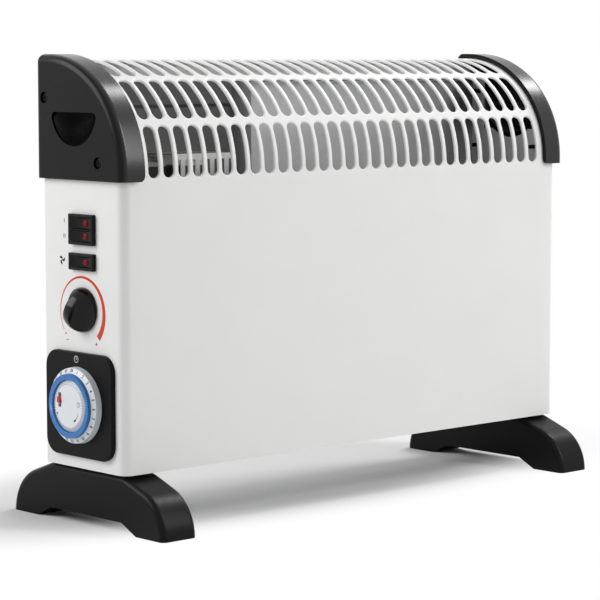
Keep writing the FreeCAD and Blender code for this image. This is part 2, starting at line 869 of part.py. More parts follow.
def back_panel():
    """Flat rear sheet with two pressed beads, the fan's air slots and a row of vents."""
    panel = box(left_x + panel_edge_gap, right_x - panel_edge_gap, rear_y, panel_rear_y,
                casing_bottom + panel_edge_gap, casing_top - panel_top_gap)
    tools = []
    for z in (casing_top - bead_inset, casing_bottom + bead_inset):
        outer, hollow = panel_bead(z)
        panel = panel.fuse(outer)
        tools.append(hollow)
    half = intake_slot_width / 2
    low = fan_z - fan_radius
    high = fan_z + intake_slot_rise
    for x in fan_slots():
        tools.append(rounded_box(x - half, x + half, rear_y - past, panel_rear_y + past, low, high,
                                 intake_slot_width * slot_end_share, ALONG_Y))
    vent_z = casing_bottom + panel_vent_rise
    vent_x0 = partition_x + panel_vent_pitch
    vent_step = panel_vent_length + panel_vent_pitch
    vent_count = int((right_x - rear_flange - panel_vent_length - vent_x0) / vent_step)
    for index in range(vent_count):
        x = vent_x0 + index * vent_step
        tools.append(rounded_box(x, x + panel_vent_length, rear_y - past, panel_rear_y + past,
                                 vent_z - panel_vent_width / 2, vent_z + panel_vent_width / 2,
                                 panel_vent_width * slot_end_share, ALONG_Y))
    for x, z in panel_screw_places():
        tools.append(rod(screw_hole_radius, (x, rear_y - past, z), ALONG_Y, sheet + 2 * past))
    for x in (left_x + panel_screw_inset, right_x - panel_screw_inset):
        for z in cap_rear_screw_heights:
            tools.append(rod(screw_hole_radius, (x, rear_y - past, z), ALONG_Y, sheet + 2 * past))
    tools.append(rod(gland_body_radius + switch_fit, (gland_x, rear_y - past, gland_z), ALONG_Y,
                     sheet + 2 * past))
    return panel.cut(tools)


def shield_screw_places():
    """Screws that hold the heat shield's tabs and the fan guard's tabs on the back panel."""
    inset = shield_sheet + shield_tab / 2
    middle = (shield_bottom + shield_top) / 2
    places = []
    for x in (shield_left + inset, shield_right - inset):
        places += [(x, middle - shield_screw_spread), (x, middle + shield_screw_spread)]
    for z in (fan_top - shield_tab / 2, fan_top - fan_guard_height + shield_tab / 2):
        places += [(fan_x - fan_guard_width / 2 + panel_screw_inset, z),
                   (fan_x + fan_guard_width / 2 - panel_screw_inset, z)]
    return places


def panel_screw_places():
    """All screws that are driven through the back panel alone."""
    sides = (left_x + panel_screw_inset, right_x - panel_screw_inset)
    return [(x, z) for x in sides for z in panel_screw_heights] + shield_screw_places()


def back_panel_screws():
    length = 2 * sheet + screw_grip
    screws = [screw((x, panel_rear_y, z), ALONG_Y * -1, length) for x, z in panel_screw_places()]
    return Part.makeCompound(screws)


def element_screw_places():
    """Screws that hold the element brackets and the partition down on the base plate."""
    foot = inner_sheet + bracket_foot / 2
    places = []
    for y in (board_ys[0] - bracket_margin / 2, board_ys[1] + bracket_margin / 2):
        places += [(element_x0 + bracket_overlap - foot, y), (element_x1 - bracket_overlap + foot, y)]
        places.append((partition_x + inner_sheet + partition_foot / 2, y))
    return places


def bracket_feet():
    """Both ends, along X, of each element bracket's foot."""
    reach = inner_sheet + bracket_foot
    left = element_x0 + bracket_overlap
    right = element_x1 - bracket_overlap
    return [(left - reach, left), (right, right + reach)]


def base_plate():
    """Floor sheet on the casing's flanges, with a row of air inlets."""
    low = casing_bottom + sheet
    plate = rounded_box(inner_left_x + plate_fit, right_x - sheet - plate_fit, inner_front_y + plate_fit,
                        rear_y - sheet - plate_fit, low, floor_z, corner_radius, ALONG_Z)
    start = partition_x + inner_sheet + partition_foot + inlet_pitch
    end = right_x - side_flange - inlet_width
    count = int((end - start) / inlet_pitch)
    tools = []
    for index in range(count):
        x = start + index * inlet_pitch
        if any(low_x - inlet_width < x < high_x for low_x, high_x in bracket_feet()):
            continue
        tools.append(rounded_box(x, x + inlet_width, casing_shift - inlet_length / 2,
                                 casing_shift + inlet_length / 2, low - past, floor_z + past,
                                 inlet_width * slot_end_share, ALONG_Z))
    for x, y in foot_screw_places:
        for place in (x, 2 * centre_x - x):
            tools.append(rod(screw_hole_radius, (place, y, low - past), ALONG_Z, sheet + 2 * past))
    for x, y in element_screw_places():
        tools.append(rod(screw_hole_radius, (x, y, low - past), ALONG_Z, sheet + 2 * past))
    return plate.cut(tools)


def inner_screws():
    """Screws of the element brackets and of the partition."""
    seat = floor_z + inner_sheet
    length = inner_sheet + sheet + screw_grip / 2
    screws = [screw((x, y, seat), ALONG_Z * -1, length) for x, y in element_screw_places()]
    return Part.makeCompound(screws)


def control_partition():
    """Sheet wall between the controls and the heating chamber, with a foot on the base plate."""
    y0 = inner_front_y + plate_fit
    y1 = rear_y - sheet - plate_fit
    top = cap_bottom - partition_drop
    wall = box(partition_x, partition_x + inner_sheet, y0, y1, floor_z, top)
    foot = box(partition_x, partition_x + inner_sheet + partition_foot, y0, y1, floor_z,
               floor_z + inner_sheet)
    tools = [rod(screw_hole_radius, (x, y, floor_z - past), ALONG_Z, inner_sheet + 2 * past)
             for x, y in element_screw_places()]
    return joined([wall, foot]).cut(tools)


def heat_shield():
    """Bright sheet in front of the back panel, with a folded top edge and two side flanges with tabs."""
    x0 = shield_left
    x1 = shield_right
    z0 = shield_bottom
    z1 = shield_top
    pieces = [
        box(x0, x1, shield_y, shield_y + shield_sheet, z0, z1),
        box(x0, x1, shield_y - shield_lip, shield_y + shield_sheet, z1 - shield_sheet, z1),
    ]
    for x, inward in ((x0, 1), (x1, -1)):
        side = x + inward * shield_sheet
        tab = x + inward * (shield_sheet + shield_tab)
        pieces.append(box(min(x, side), max(x, side), shield_y, rear_y, z0, z1))
        pieces.append(box(min(x, tab), max(x, tab), rear_y - shield_sheet, rear_y, z0, z1))
    through = shield_sheet + 2 * past
    tools = [rod(screw_hole_radius, (x, rear_y - shield_sheet - past, z), ALONG_Y, through)
             for x, z in shield_screw_places()]
    return joined(pieces).cut(tools)


def element_board(y):
    """Mica board of one heating element."""
    return box(element_x0, element_x1, y - board_thick / 2, y + board_thick / 2,
               board_bottom, board_bottom + board_height)


def element_ribbon(y):
    """Resistance ribbon that runs up and down along the front of its board."""
    face = y - board_thick / 2
    margin = bracket_overlap + 2 * inner_sheet + ribbon_margin
    count = int((element_x1 - element_x0 - 2 * margin) / ribbon_pitch)
    count -= count % 2
    start = (element_x0 + element_x1 - count * ribbon_pitch) / 2
    low = board_bottom + ribbon_margin
    high = board_bottom + board_height - ribbon_margin
    runs = []
    for index in range(count + 1):
        x = start + index * ribbon_pitch
        half = ribbon_width / 2
        runs.append(box(x - half, x + half, face - ribbon_thick, face, low, high))
        if index < count:
            z = high - ribbon_width if index % 2 == 0 else low
            runs.append(box(x, x + ribbon_pitch, face - ribbon_thick, face, z, z + ribbon_width))
    return joined(runs)


def element_bracket(x, outward):
    """Upright plate that carries the ends of both boards in slots, with a foot on the base plate."""
    x1 = x + outward * inner_sheet
    x2 = x + outward * (inner_sheet + bracket_foot)
    y0 = board_ys[0] - bracket_margin
    y1 = board_ys[1] + bracket_margin
    top = board_bottom + board_height + bracket_margin
    wall = box(min(x, x1), max(x, x1), y0, y1, floor_z, top)
    foot = box(min(x, x2), max(x, x2), y0, y1, floor_z, floor_z + inner_sheet)
    half = board_thick / 2 + board_slot_gap
    tools = [box(x - inner_sheet - past, x + inner_sheet + past, y - half, y + half,
                 board_bottom, board_bottom + board_height + board_slot_gap) for y in board_ys]
    tools += [rod(screw_hole_radius, (place, y, floor_z - past), ALONG_Z, inner_sheet + 2 * past)
              for place, y in element_screw_places()]
    return joined([wall, foot]).cut(tools)


def fan_guard():
    """Comb-shaped sheet guard round the fan, folded back to the panel at its top and bottom."""
    x0 = fan_x - fan_guard_width / 2
    x1 = fan_x + fan_guard_width / 2
    z0 = fan_top - fan_guard_height
    z1 = fan_top
    front = fan_front_y
    back = fan_front_y + sheet
    pieces = [
        box(x0, x1, front, back, z1 - fan_rail_height, z1),
        box(x0, x1, front, back, z0, z0 + fan_rail_height),
        box(x0, x1, front, rear_y, z1 - sheet, z1),
        box(x0, x1, front, rear_y, z0, z0 + sheet),
        box(x0, x1, rear_y - sheet, rear_y, z1 - shield_tab, z1),
        box(x0, x1, rear_y - sheet, rear_y, z0, z0 + shield_tab),
        box(fan_x - fan_hub_plate / 2, fan_x + fan_hub_plate / 2, front, back,
            fan_z - fan_hub_plate / 2, fan_z + fan_hub_plate / 2),
    ]
    bars = int((fan_guard_width - fan_bar_width) / fan_bar_pitch) + 1
    for index in range(bars):
        x = fan_x + (index - (bars - 1) / 2) * fan_bar_pitch
        pieces.append(box(x - fan_bar_width / 2, x + fan_bar_width / 2, front, back, z0, z1))
    through = sheet + 2 * past
    tools = [rod(screw_hole_radius, (x, rear_y - sheet - past, z), ALONG_Y, through)
             for x, z in shield_screw_places()]
    tools.append(rod(fan_shaft_radius + rotor_gap, (fan_x, front - past, fan_z), ALONG_Y, through))
    return joined(pieces).cut(tools)


# Places of the motor's pieces along the fan's axis
bridge_front_y = fan_front_y + sheet
core_front_y = bridge_front_y + bridge_thick + bridge_leg
core_rear_y = core_front_y + motor_stack
bridge_rear_y = core_rear_y + bridge_leg
hub_front_y = bridge_rear_y + bridge_thick + rotor_end_gap
hub_rear_y = hub_front_y + fan_hub_length


def fan_motor_core():
    """Stack of laminations round the rotor, with a leg at the bottom for the coil."""
    half = motor_width / 2
    window = motor_leg + coil_thick
    bottom = fan_z - rotor_radius - motor_leg - window
    core = box(fan_x - half, fan_x + half, core_front_y, core_rear_y, bottom, fan_z + motor_height / 2)
    hollow = box(fan_x - half + motor_leg, fan_x + half - motor_leg, core_front_y - past,
                 core_rear_y + past, bottom + motor_leg, bottom + window)
    bore = rod(rotor_radius + rotor_gap, (fan_x, core_front_y - past, fan_z), ALONG_Y,
               motor_stack + 2 * past)
    return core.cut([hollow, bore])


def fan_motor_coil():
    """Winding round the lower leg of the core."""
    bottom = fan_z - rotor_radius - 2 * motor_leg - coil_thick
    half = coil_width / 2
    lap = coil_thick - plate_fit
    body = box(fan_x - half, fan_x + half, core_front_y - lap, core_rear_y + lap,
               bottom - lap, bottom + motor_leg + lap)
    rounded = [edge for edge in body.Edges if runs_along(edge, ALONG_X)]
    body = body.makeFillet(lap / 2, rounded)
    return body.cut(box(fan_x - half - past, fan_x + half + past, core_front_y, core_rear_y,
                        bottom, bottom + motor_leg))


def fan_motor_bridges():
    """Two bearing bridges, one on each face of the core."""
    bridges = []
    for plate, leg in ((bridge_front_y, bridge_front_y + bridge_thick), (bridge_rear_y, core_rear_y)):
        half = bridge_width / 2
        low = fan_z - bridge_height / 2
        high = fan_z + bridge_height / 2
        pieces = [box(fan_x - half, fan_x + half, plate, plate + bridge_thick, low, high)]
        for side in (-1, 1):
            edge = fan_x + side * half
            inner = fan_x + side * (rotor_radius + rotor_gap + rotor_end_gap)
            pieces.append(box(min(edge, inner), max(edge, inner), leg, leg + bridge_leg, low, high))
        bridge = joined(pieces)
        bore = rod(fan_shaft_radius + running_gap, (fan_x, plate - past, fan_z), ALONG_Y,
                   bridge_thick + 2 * past)
        bridges.append(bridge.cut(bore))
    return Part.makeCompound(bridges)


def fan_shaft():
    """Steel shaft with the rotor on it."""
    shaft = rod(fan_shaft_radius, (fan_x, fan_front_y, fan_z), ALONG_Y, hub_rear_y - fan_front_y)
    rotor = rod(rotor_radius, (fan_x, core_front_y, fan_z), ALONG_Y, motor_stack)
    return joined([shaft, rotor])


def fan_impeller():
    """Hub with twisted blades, pressed on the shaft."""
    pieces = [rod(fan_hub_radius, (fan_x, hub_front_y, fan_z), ALONG_Y, fan_hub_length)]
    middle = (hub_front_y + hub_rear_y) / 2
    for index in range(fan_blade_count):
        blade = box(-fan_blade_chord / 2, fan_blade_chord / 2, -fan_blade_thick / 2, fan_blade_thick / 2,
                    fan_hub_radius - fan_blade_root, fan_radius)
        blade.rotate(V(0, 0, 0), ALONG_Z, fan_blade_pitch)
        blade.rotate(V(0, 0, 0), ALONG_Y, 360 / fan_blade_count * index)
        blade.translate(V(fan_x, middle, fan_z))
        pieces.append(blade)
    bore = rod(fan_shaft_radius + running_gap / 2, (fan_x, hub_front_y - past, fan_z), ALONG_Y,
               fan_hub_length + 2 * past)
    return joined(pieces).cut(bore)


def thermal_cutout():
    """Bimetal cut-out on the front of the heat shield: mounting plate, round case and two terminals."""
    x = shield_left + cutout_share * (shield_right - shield_left)
    z = casing_bottom + cutout_rise
    y = shield_y - inner_sheet
    plate = rounded_box(x - cutout_plate_length / 2, x + cutout_plate_length / 2, y, shield_y,
                        z - cutout_plate_width / 2, z + cutout_plate_width / 2,
                        cutout_plate_width * slot_end_share, ALONG_Y)
    case = rod(cutout_radius, (x, y - cutout_height, z), ALONG_Y, cutout_height)
    pieces = [plate, case]
    for side in (-1, 1):
        place = x + side * cutout_radius / 2
        pieces.append(box(place - terminal_blade_thick / 2, place + terminal_blade_thick / 2,
                          y - cutout_height - terminal_blade_length, y - cutout_height,
                          z - terminal_blade_width / 2, z + terminal_blade_width / 2))
    return joined(pieces)


def terminal_block():
    """Moulded block with a row of screw terminals, on the base plate beside the controls."""
    x0 = left_x + side_flange - terminal_length / 2
    y0 = inner_front_y + terminal_inset
    block = box(x0, x0 + terminal_length, y0, y0 + terminal_width, floor_z, floor_z + terminal_height)
    pitch = terminal_length / terminal_count
    top = floor_z + terminal_height
    tools = []
    for index in range(terminal_count):
        x = x0 + index * pitch + pitch / 2
        middle = y0 + terminal_width / 2
        tools.append(rod(terminal_hole_radius, (x, y0 - past, floor_z + terminal_wire_rise), ALONG_Y,
                         terminal_width + 2 * past))
        tools.append(rod(terminal_screw_radius, (x, middle, floor_z + terminal_wire_rise), ALONG_Z,
                         terminal_height))
        if index:
            edge = x0 + index * pitch
            for side in (y0 - past, y0 + terminal_width - terminal_notch):
                tools.append(box(edge - sheet, edge + sheet, side, side + terminal_notch + past,
                                 top - terminal_notch_depth, top + past))
    return block.cut(tools)


def cord_gland():
    """Bush for the mains lead in the back panel."""
    length = gland_reach + sheet + gland_flange
    start = rear_y - gland_reach
    body = rod(gland_body_radius, (gland_x, start, gland_z), ALONG_Y, length)
    flange = rod(gland_flange_radius, (gland_x, panel_rear_y, gland_z), ALONG_Y, gland_flange)
    bore = rod(gland_bore_radius, (gland_x, start - past, gland_z), ALONG_Y, length + 2 * past)
    return joined([body, flange]).cut(bore)


def gland_nut_piece():
    """Hexagon nut that holds the bush on the inside of the panel."""
    nut = hexagon(gland_nut_size, V(gland_x, rear_y - gland_nut, gland_z), ALONG_Y, ALONG_Z, gland_nut)
    start = (gland_x, rear_y - gland_nut - past, gland_z)
    return nut.cut(rod(gland_body_radius + screw_hole_gap, start, ALONG_Y, gland_nut + 2 * past))


def rocker_places(z, height):
    """Middle height and half height of each rocker in a switch."""
    count = 2 if height > bezel_length / 2 else 1
    room = height - 2 * (bezel_rim + switch_wall) - (count - 1) * switch_wall
    each = room / count
    step = each + switch_wall
    low = z - height / 2 + bezel_rim + switch_wall
    return [(low + each / 2 + index * step, each / 2 - rocker_gap) for index in range(count)]


def switch_housing(z, height):
    """Bezel and hollow case of a rocker switch, with sockets for the rockers' pins."""
    half_y = bezel_length / 2
    half_z = height / 2
    bezel = rounded_box(left_x - bezel_proud, left_x, switch_y - half_y, switch_y + half_y,
                        z - half_z, z + half_z, bezel_corner, ALONG_X)
    bezel = bezel.makeFillet(bezel_edge, edges_at(bezel, left_x - bezel_proud))
    inner_y = half_y - bezel_rim
    inner_z = half_z - bezel_rim
    case = box(left_x - bezel_proud / 2, left_x + switch_depth, switch_y - inner_y, switch_y + inner_y,
               z - inner_z, z + inner_z)
    well_depth = rocker_pivot_depth + rocker_foot_depth
    tools = []
    for middle, half in rocker_places(z, height):
        room = half + rocker_gap
        tools.append(box(left_x - bezel_proud - past, left_x + well_depth, switch_y - inner_y + switch_wall,
                         switch_y + inner_y - switch_wall, middle - room, middle + room))
        socket = (left_x + rocker_pivot_depth, switch_y, middle - room - switch_wall)
        tools.append(rod(rocker_pin_radius + running_gap, socket, ALONG_Z, 2 * (room + switch_wall)))
    return joined([bezel, case]).cut(tools)


def rocker_rest(shape):
    """Tips a rocker's piece from its middle to where it rests, lens end pressed in."""
    return shape.rotated(V(left_x + rocker_pivot_depth, switch_y, 0), ALONG_Z, rocker_tilt)


def lens_seat_x():
    """X of the floor of the lens's pocket in an untipped rocker."""
    share = lens_offset / rocker_half
    return left_x - rocker_dip - (rocker_rise - rocker_dip) * share * share + lens_seat


def rocker(middle, half):
    """Rocker with a dished top, two pins and a round pocket for its lens."""
    low = middle - half

    def spot(across, out):
        return V(left_x - out, switch_y + across, low)

    edges = [
        arc(spot(-rocker_half, rocker_rise), spot(0, rocker_dip), spot(rocker_half, rocker_rise)),
        line(spot(rocker_half, rocker_rise), spot(rocker_foot_half, -rocker_foot_depth)),
        line(spot(rocker_foot_half, -rocker_foot_depth), spot(-rocker_foot_half, -rocker_foot_depth)),
        line(spot(-rocker_foot_half, -rocker_foot_depth), spot(-rocker_half, rocker_rise)),
    ]
    body = Part.Face(Part.Wire(Part.__sortEdges__(edges))).extrude(V(0, 0, 2 * half))
    body = body.makeChamfer(rocker_chamfer, edges_at(body, left_x - rocker_rise))
    pin_start = (left_x + rocker_pivot_depth, switch_y, low - rocker_pin_length)
    pin = rod(rocker_pin_radius, pin_start, ALONG_Z, 2 * (half + rocker_pin_length))
    seat = (lens_seat_x(), switch_y - lens_offset, middle)
    pocket = rod(lens_radius + running_gap, seat, ALONG_X * -1, lens_seat + rocker_rise)
    return rocker_rest(joined([body, pin]).cut(pocket))


def rocker_lens(middle):
    """Domed red window of a rocker."""
    length = lens_seat + lens_proud
    lens = rod(lens_radius, (lens_seat_x(), switch_y - lens_offset, middle), ALONG_X * -1, length)
    lens = lens.makeFillet(lens_proud * lens_dome_share, edges_at(lens, lens_seat_x() - length))
    return rocker_rest(lens)


def switch_terminals():
    """Blade terminals behind both switches, three to a rocker."""
    x0 = left_x + switch_depth
    blades = []
    for z, height in ((heat_switch_z, heat_bezel_height), (fan_switch_z, fan_bezel_height)):
        for middle, half in rocker_places(z, height):
            for step in (-1, 0, 1):
                y = switch_y + step * terminal_blade_pitch
                blades.append(box(x0, x0 + terminal_blade_length, y - terminal_blade_thick / 2,
                                  y + terminal_blade_thick / 2, middle - terminal_blade_width / 2,
                                  middle + terminal_blade_width / 2))
    return Part.makeCompound(blades)


def thermostat_body():
    """Case behind the end wall, with a threaded neck through it and two terminals."""
    case = rounded_box(inner_left_x, inner_left_x + thermostat_depth, knob_y - thermostat_width / 2,
                       knob_y + thermostat_width / 2, knob_z - thermostat_height / 2,
                       knob_z + thermostat_height / 2, bezel_corner, ALONG_X)
    neck = rod(neck_radius, (left_x - neck_reach, knob_y, knob_z), ALONG_X, neck_reach + 2 * sheet)
    pieces = [case, neck]
    back = inner_left_x + thermostat_depth
    for side in (-1, 1):
        y = knob_y + side * thermostat_width / 4
        pieces.append(box(back, back + terminal_blade_length,
                          y - terminal_blade_thick / 2, y + terminal_blade_thick / 2,
                          knob_z - terminal_blade_width / 2, knob_z + terminal_blade_width / 2))
    bore = rod(knob_shaft_radius + running_gap, (left_x - neck_reach - past, knob_y, knob_z), ALONG_X,
               neck_reach + past + knob_shaft_seat)
    return joined(pieces).cut(bore)


def thermostat_nut():
    """Hexagon nut on the neck, hidden under the knob."""
    nut = hexagon(neck_nut_size, V(left_x, knob_y, knob_z), ALONG_X * -1, ALONG_Z, neck_nut)
    return nut.cut(rod(neck_radius + screw_hole_gap, (left_x + past, knob_y, knob_z), ALONG_X * -1,
                       neck_nut + 2 * past))


def thermostat_shaft():
    """Spindle that the knob turns."""
    start = (left_x - knob_shaft_reach, knob_y, knob_z)
    return rod(knob_shaft_radius, start, ALONG_X, knob_shaft_reach + knob_shaft_seat - rotor_gap)


def stood_on_end(shape, base_x, y, z):
    """Turns a piece made along +Z so that it points out of the control end, from a given base."""
    turned = shape.rotated(V(0, 0, 0), ALONG_Y, -90)
    turned.translate(V(base_x, y, z))
    return turned


def turned_solid(corners):
    """Solid of revolution round Z from corners given as radius and height."""
    points = [V(radius, 0, height) for radius, height in corners]
    return Part.Face(Part.makePolygon(points + points[:1])).revolve(V(0, 0, 0), ALONG_Z, 360)


def thermostat_knob():
    """Domed knob with two scoops that leave a grip bar, hollow underneath round the nut."""
    crown = knob_height - knob_skirt
    dome_radius = (knob_radius * knob_radius + crown * crown) / (2 * crown)
    half_way = math.asin(knob_radius / dome_radius) / 2
    top = V(0, 0, knob_height)
    rim = V(knob_radius, 0, knob_skirt)
    middle = V(dome_radius * math.sin(half_way), 0, knob_height - dome_radius * (1 - math.cos(half_way)))
    base = V(knob_radius, 0, 0)
    edges = [line(V(0, 0, 0), base), line(base, rim), arc(rim, middle, top), line(top, V(0, 0, 0))]
    knob = Part.Face(Part.Wire(Part.__sortEdges__(edges))).revolve(V(0, 0, 0), ALONG_Z, 360)
    tools = []
    for side in (-1, 1):
        start = V(-2 * knob_radius, side * (knob_grip_half + knob_scoop_radius), knob_scoop_rise)
        tools.append(Part.makeCylinder(knob_scoop_radius, 4 * knob_radius, start, ALONG_X))
    tools.append(rod(knob_recess_radius, (0, 0, -past), ALONG_Z, knob_recess_depth + past))
    tools.append(rod(knob_shaft_radius + running_gap / 2, (0, 0, -past), ALONG_Z,
                     knob_shaft_reach - knob_lift + past))
    knob = knob.cut(tools)
    knob = stood_on_end(knob, left_x - knob_lift, knob_y, knob_z)
    return knob.rotated(V(0, knob_y, knob_z), ALONG_X, knob_turn)


# Places of the timer's pieces, outwards from the end wall
timer_plate_x = left_x - timer_plate_thick
dial_base_x = timer_plate_x - dial_gap
disc_base = dial_height + centre_disc_proud - centre_disc_thick


def timer_plate():
    """Black bezel plate under the dial, with four pegs through the end wall."""
    half_y = (casing_depth - corner_radius - timer_plate_margin) / 2
    half_z = timer_plate_height / 2
    plate = rounded_box(timer_plate_x, left_x, timer_y - half_y, timer_y + half_y, timer_z - half_z,
                        timer_z + half_z, timer_plate_corner, ALONG_X)
    plate = plate.makeFillet(timer_plate_edge, edges_at(plate, timer_plate_x))
    pegs = [rod(timer_peg_radius, (timer_plate_x + sheet, y, z), ALONG_X,
                timer_plate_thick + timer_flange + timer_peg_end) for y, z in timer_pegs]
    hole = rod(timer_neck_radius + switch_fit, (timer_plate_x - past, timer_y, timer_z), ALONG_X,
               timer_plate_thick + 2 * past)
    return joined([plate] + pegs).cut(hole)


def timer_body():
    """Clockwork case behind the end wall, its round neck through the wall and the post for the dial."""
    flange = box(inner_left_x, inner_left_x + timer_flange, timer_y - timer_case_size / 2,
                 timer_y + timer_case_size / 2, timer_z - timer_case_size / 2, timer_z + timer_case_size / 2)
    inner = timer_case_size / 2 - timer_flange_rim
    case = box(inner_left_x, inner_left_x + timer_case_depth, timer_y - inner, timer_y + inner,
               timer_z - inner, timer_z + inner)
    neck = rod(timer_neck_radius, (timer_plate_x, timer_y, timer_z), ALONG_X,
               timer_plate_thick + 2 * sheet)
    post = rod(timer_post_radius, (dial_base_x - disc_base, timer_y, timer_z), ALONG_X,
               disc_base + dial_gap + timer_plate_thick)
    through = timer_flange + 2 * past
    tools = [rod(timer_peg_radius + screw_hole_gap, (inner_left_x - past, y, z), ALONG_X, through)
             for y, z in timer_pegs]
    return joined([flange, case, neck, post]).cut(tools)


def timer_motor():
    """Small synchronous motor on the back of the timer's case."""
    start = inner_left_x + timer_case_depth
    motor = rod(timer_motor_radius, (start, timer_y, timer_z), ALONG_X, timer_motor_depth)
    return motor.makeFillet(timer_plate_edge, edges_at(motor, start + timer_motor_depth))


def timer_dial():
    """Turning dial: sloped number ring, groove for the tappets and a well for the centre disc."""
    crest = tappet_outer_radius + tappet_gap + dial_ring_wall
    bore = timer_post_radius + running_gap
    dial = turned_solid([
        (bore, 0), (dial_radius, 0), (dial_radius - dial_draft, dial_rim), (crest, dial_height),
        (tappet_outer_radius + tappet_gap, dial_height), (tappet_outer_radius + tappet_gap, dial_floor),
        (tappet_inner_radius - tappet_gap, dial_floor), (tappet_inner_radius - tappet_gap, dial_height),
        (dial_well_radius, dial_height), (dial_well_radius, dial_floor),
        (dial_hub_radius, dial_floor), (dial_hub_radius, dial_hub_height), (bore, dial_hub_height),
    ])
    return stood_on_end(dial, dial_base_x, timer_y, timer_z)


def timer_tappets(group):
    """One eighth of the ring of push-in tappets, as separate teeth side by side."""
    each = 360 / tappet_count
    per_group = tappet_count // tappet_groups
    half = math.pi / tappet_count * tappet_inner_radius * tappet_fill
    top = dial_height + tappet_proud
    outer = tappet_outer_radius - tappet_gap / 2
    teeth = []
    for index in range(per_group):
        tooth = box(tappet_inner_radius, outer, -half, half, top - tappet_length, top)
        tooth.rotate(V(0, 0, 0), ALONG_Z, (group * per_group + index) * each + each / 2)
        teeth.append(stood_on_end(tooth, dial_base_x, timer_y, timer_z))
    return Part.makeCompound(teeth)


def timer_centre_disc():
    """Fixed white disc with a flared edge on the post's end, with the selector's slot."""
    foot_radius = centre_disc_radius + centre_disc_flare
    disc = Part.makeCone(foot_radius, centre_disc_radius, centre_disc_thick, V(0, 0, disc_base))
    half_z = selector_slot_length / 2
    half_y = selector_slot_width / 2
    slot = box(selector_z - half_z, selector_z + half_z, selector_y - half_y, selector_y + half_y,
               disc_base - past, disc_base + centre_disc_thick + past)
    return stood_on_end(disc.cut(slot), dial_base_x, timer_y, timer_z)


def timer_selector():
    """Red slide in the slot of the centre disc, kept in by a flange underneath."""
    half_z = selector_length / 2
    half_y = selector_slot_width / 2 - selector_gap
    top = disc_base + centre_disc_thick + selector_proud
    under = disc_base - selector_gap
    stem = box(selector_z - half_z, selector_z + half_z, selector_y - half_y, selector_y + half_y,
               under, top)
    flange = box(selector_z - half_z - selector_flange, selector_z + half_z + selector_flange,
                 selector_y - half_y - selector_flange, selector_y + half_y + selector_flange,
                 under - selector_flange, under)
    return stood_on_end(joined([stem, flange]), dial_base_x, timer_y, timer_z)


upper_rocker = rocker_places(heat_switch_z, heat_bezel_height)[1]
lower_rocker = rocker_places(heat_switch_z, heat_bezel_height)[0]
single_rocker = rocker_places(fan_switch_z, fan_bezel_height)[0]

# Every piece by its name
pieces = {
    "front_casing": front_casing(),
    "back_panel": back_panel(),
    "base_plate": base_plate(),
    "left_end_cap": left_end_cap(),
    "right_end_cap": mirrored(left_end_cap()),
    "left_foot": left_foot(),
    "right_foot": mirrored(left_foot()),
    "end_cap_screws": end_cap_screws(),
    "foot_screws": foot_screws(),
    "back_panel_screws": back_panel_screws(),
    "inner_screws": inner_screws(),
    "control_partition": control_partition(),
    "heat_shield": heat_shield(),
    "front_element_board": element_board(board_ys[0]),
    "rear_element_board": element_board(board_ys[1]),
    "front_element_ribbon": element_ribbon(board_ys[0]),
    "rear_element_ribbon": element_ribbon(board_ys[1]),
    "left_element_bracket": element_bracket(element_x0 + bracket_overlap, -1),
    "right_element_bracket": element_bracket(element_x1 - bracket_overlap, 1),
    "fan_guard": fan_guard(),
    "fan_motor_core": fan_motor_core(),
    "fan_motor_coil": fan_motor_coil(),
    "fan_motor_bridges": fan_motor_bridges(),
    "fan_shaft": fan_shaft(),
    "fan_impeller": fan_impeller(),
    "thermal_cutout": thermal_cutout(),
    "terminal_block": terminal_block(),
    "cord_gland": cord_gland(),
    "gland_nut": gland_nut_piece(),
    "heat_switch_housing": switch_housing(heat_switch_z, heat_bezel_height),
    "heat_rocker_upper": rocker(*upper_rocker),
    "heat_rocker_lower": rocker(*lower_rocker),
    "heat_lens_upper": rocker_lens(upper_rocker[0]),
    "heat_lens_lower": rocker_lens(lower_rocker[0]),
    "fan_switch_housing": switch_housing(fan_switch_z, fan_bezel_height),
    "fan_rocker": rocker(*single_rocker),
    "fan_rocker_lens": rocker_lens(single_rocker[0]),
    "switch_terminals": switch_terminals(),
    "thermostat_body": thermostat_body(),
    "thermostat_nut": thermostat_nut(),
    "thermostat_shaft": thermostat_shaft(),
    "thermostat_knob": thermostat_knob(),
    "timer_plate": timer_plate(),
    "timer_body": timer_body(),
    "timer_motor": timer_motor(),
    "timer_dial": timer_dial(),
    "timer_centre_disc": timer_centre_disc(),
    "timer_selector": timer_selector(),
}
for group in range(tappet_groups):
    pieces[f"timer_tappets_{group + 1:02d}"] = timer_tappets(group)

os.makedirs("parts", exist_ok=True)
for name, shape in pieces.items():
    shape.exportStep(f"parts/{name}.step")
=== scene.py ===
"""Looks of a free-standing convector heater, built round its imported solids.

Lengths in this file are in millimetres unless a name ends in _m, and meshes are written in metres.
"""

from __future__ import annotations

import logging
import math
from collections.abc import Callable, Sequence
from dataclasses import dataclass, replace
from enum import Enum

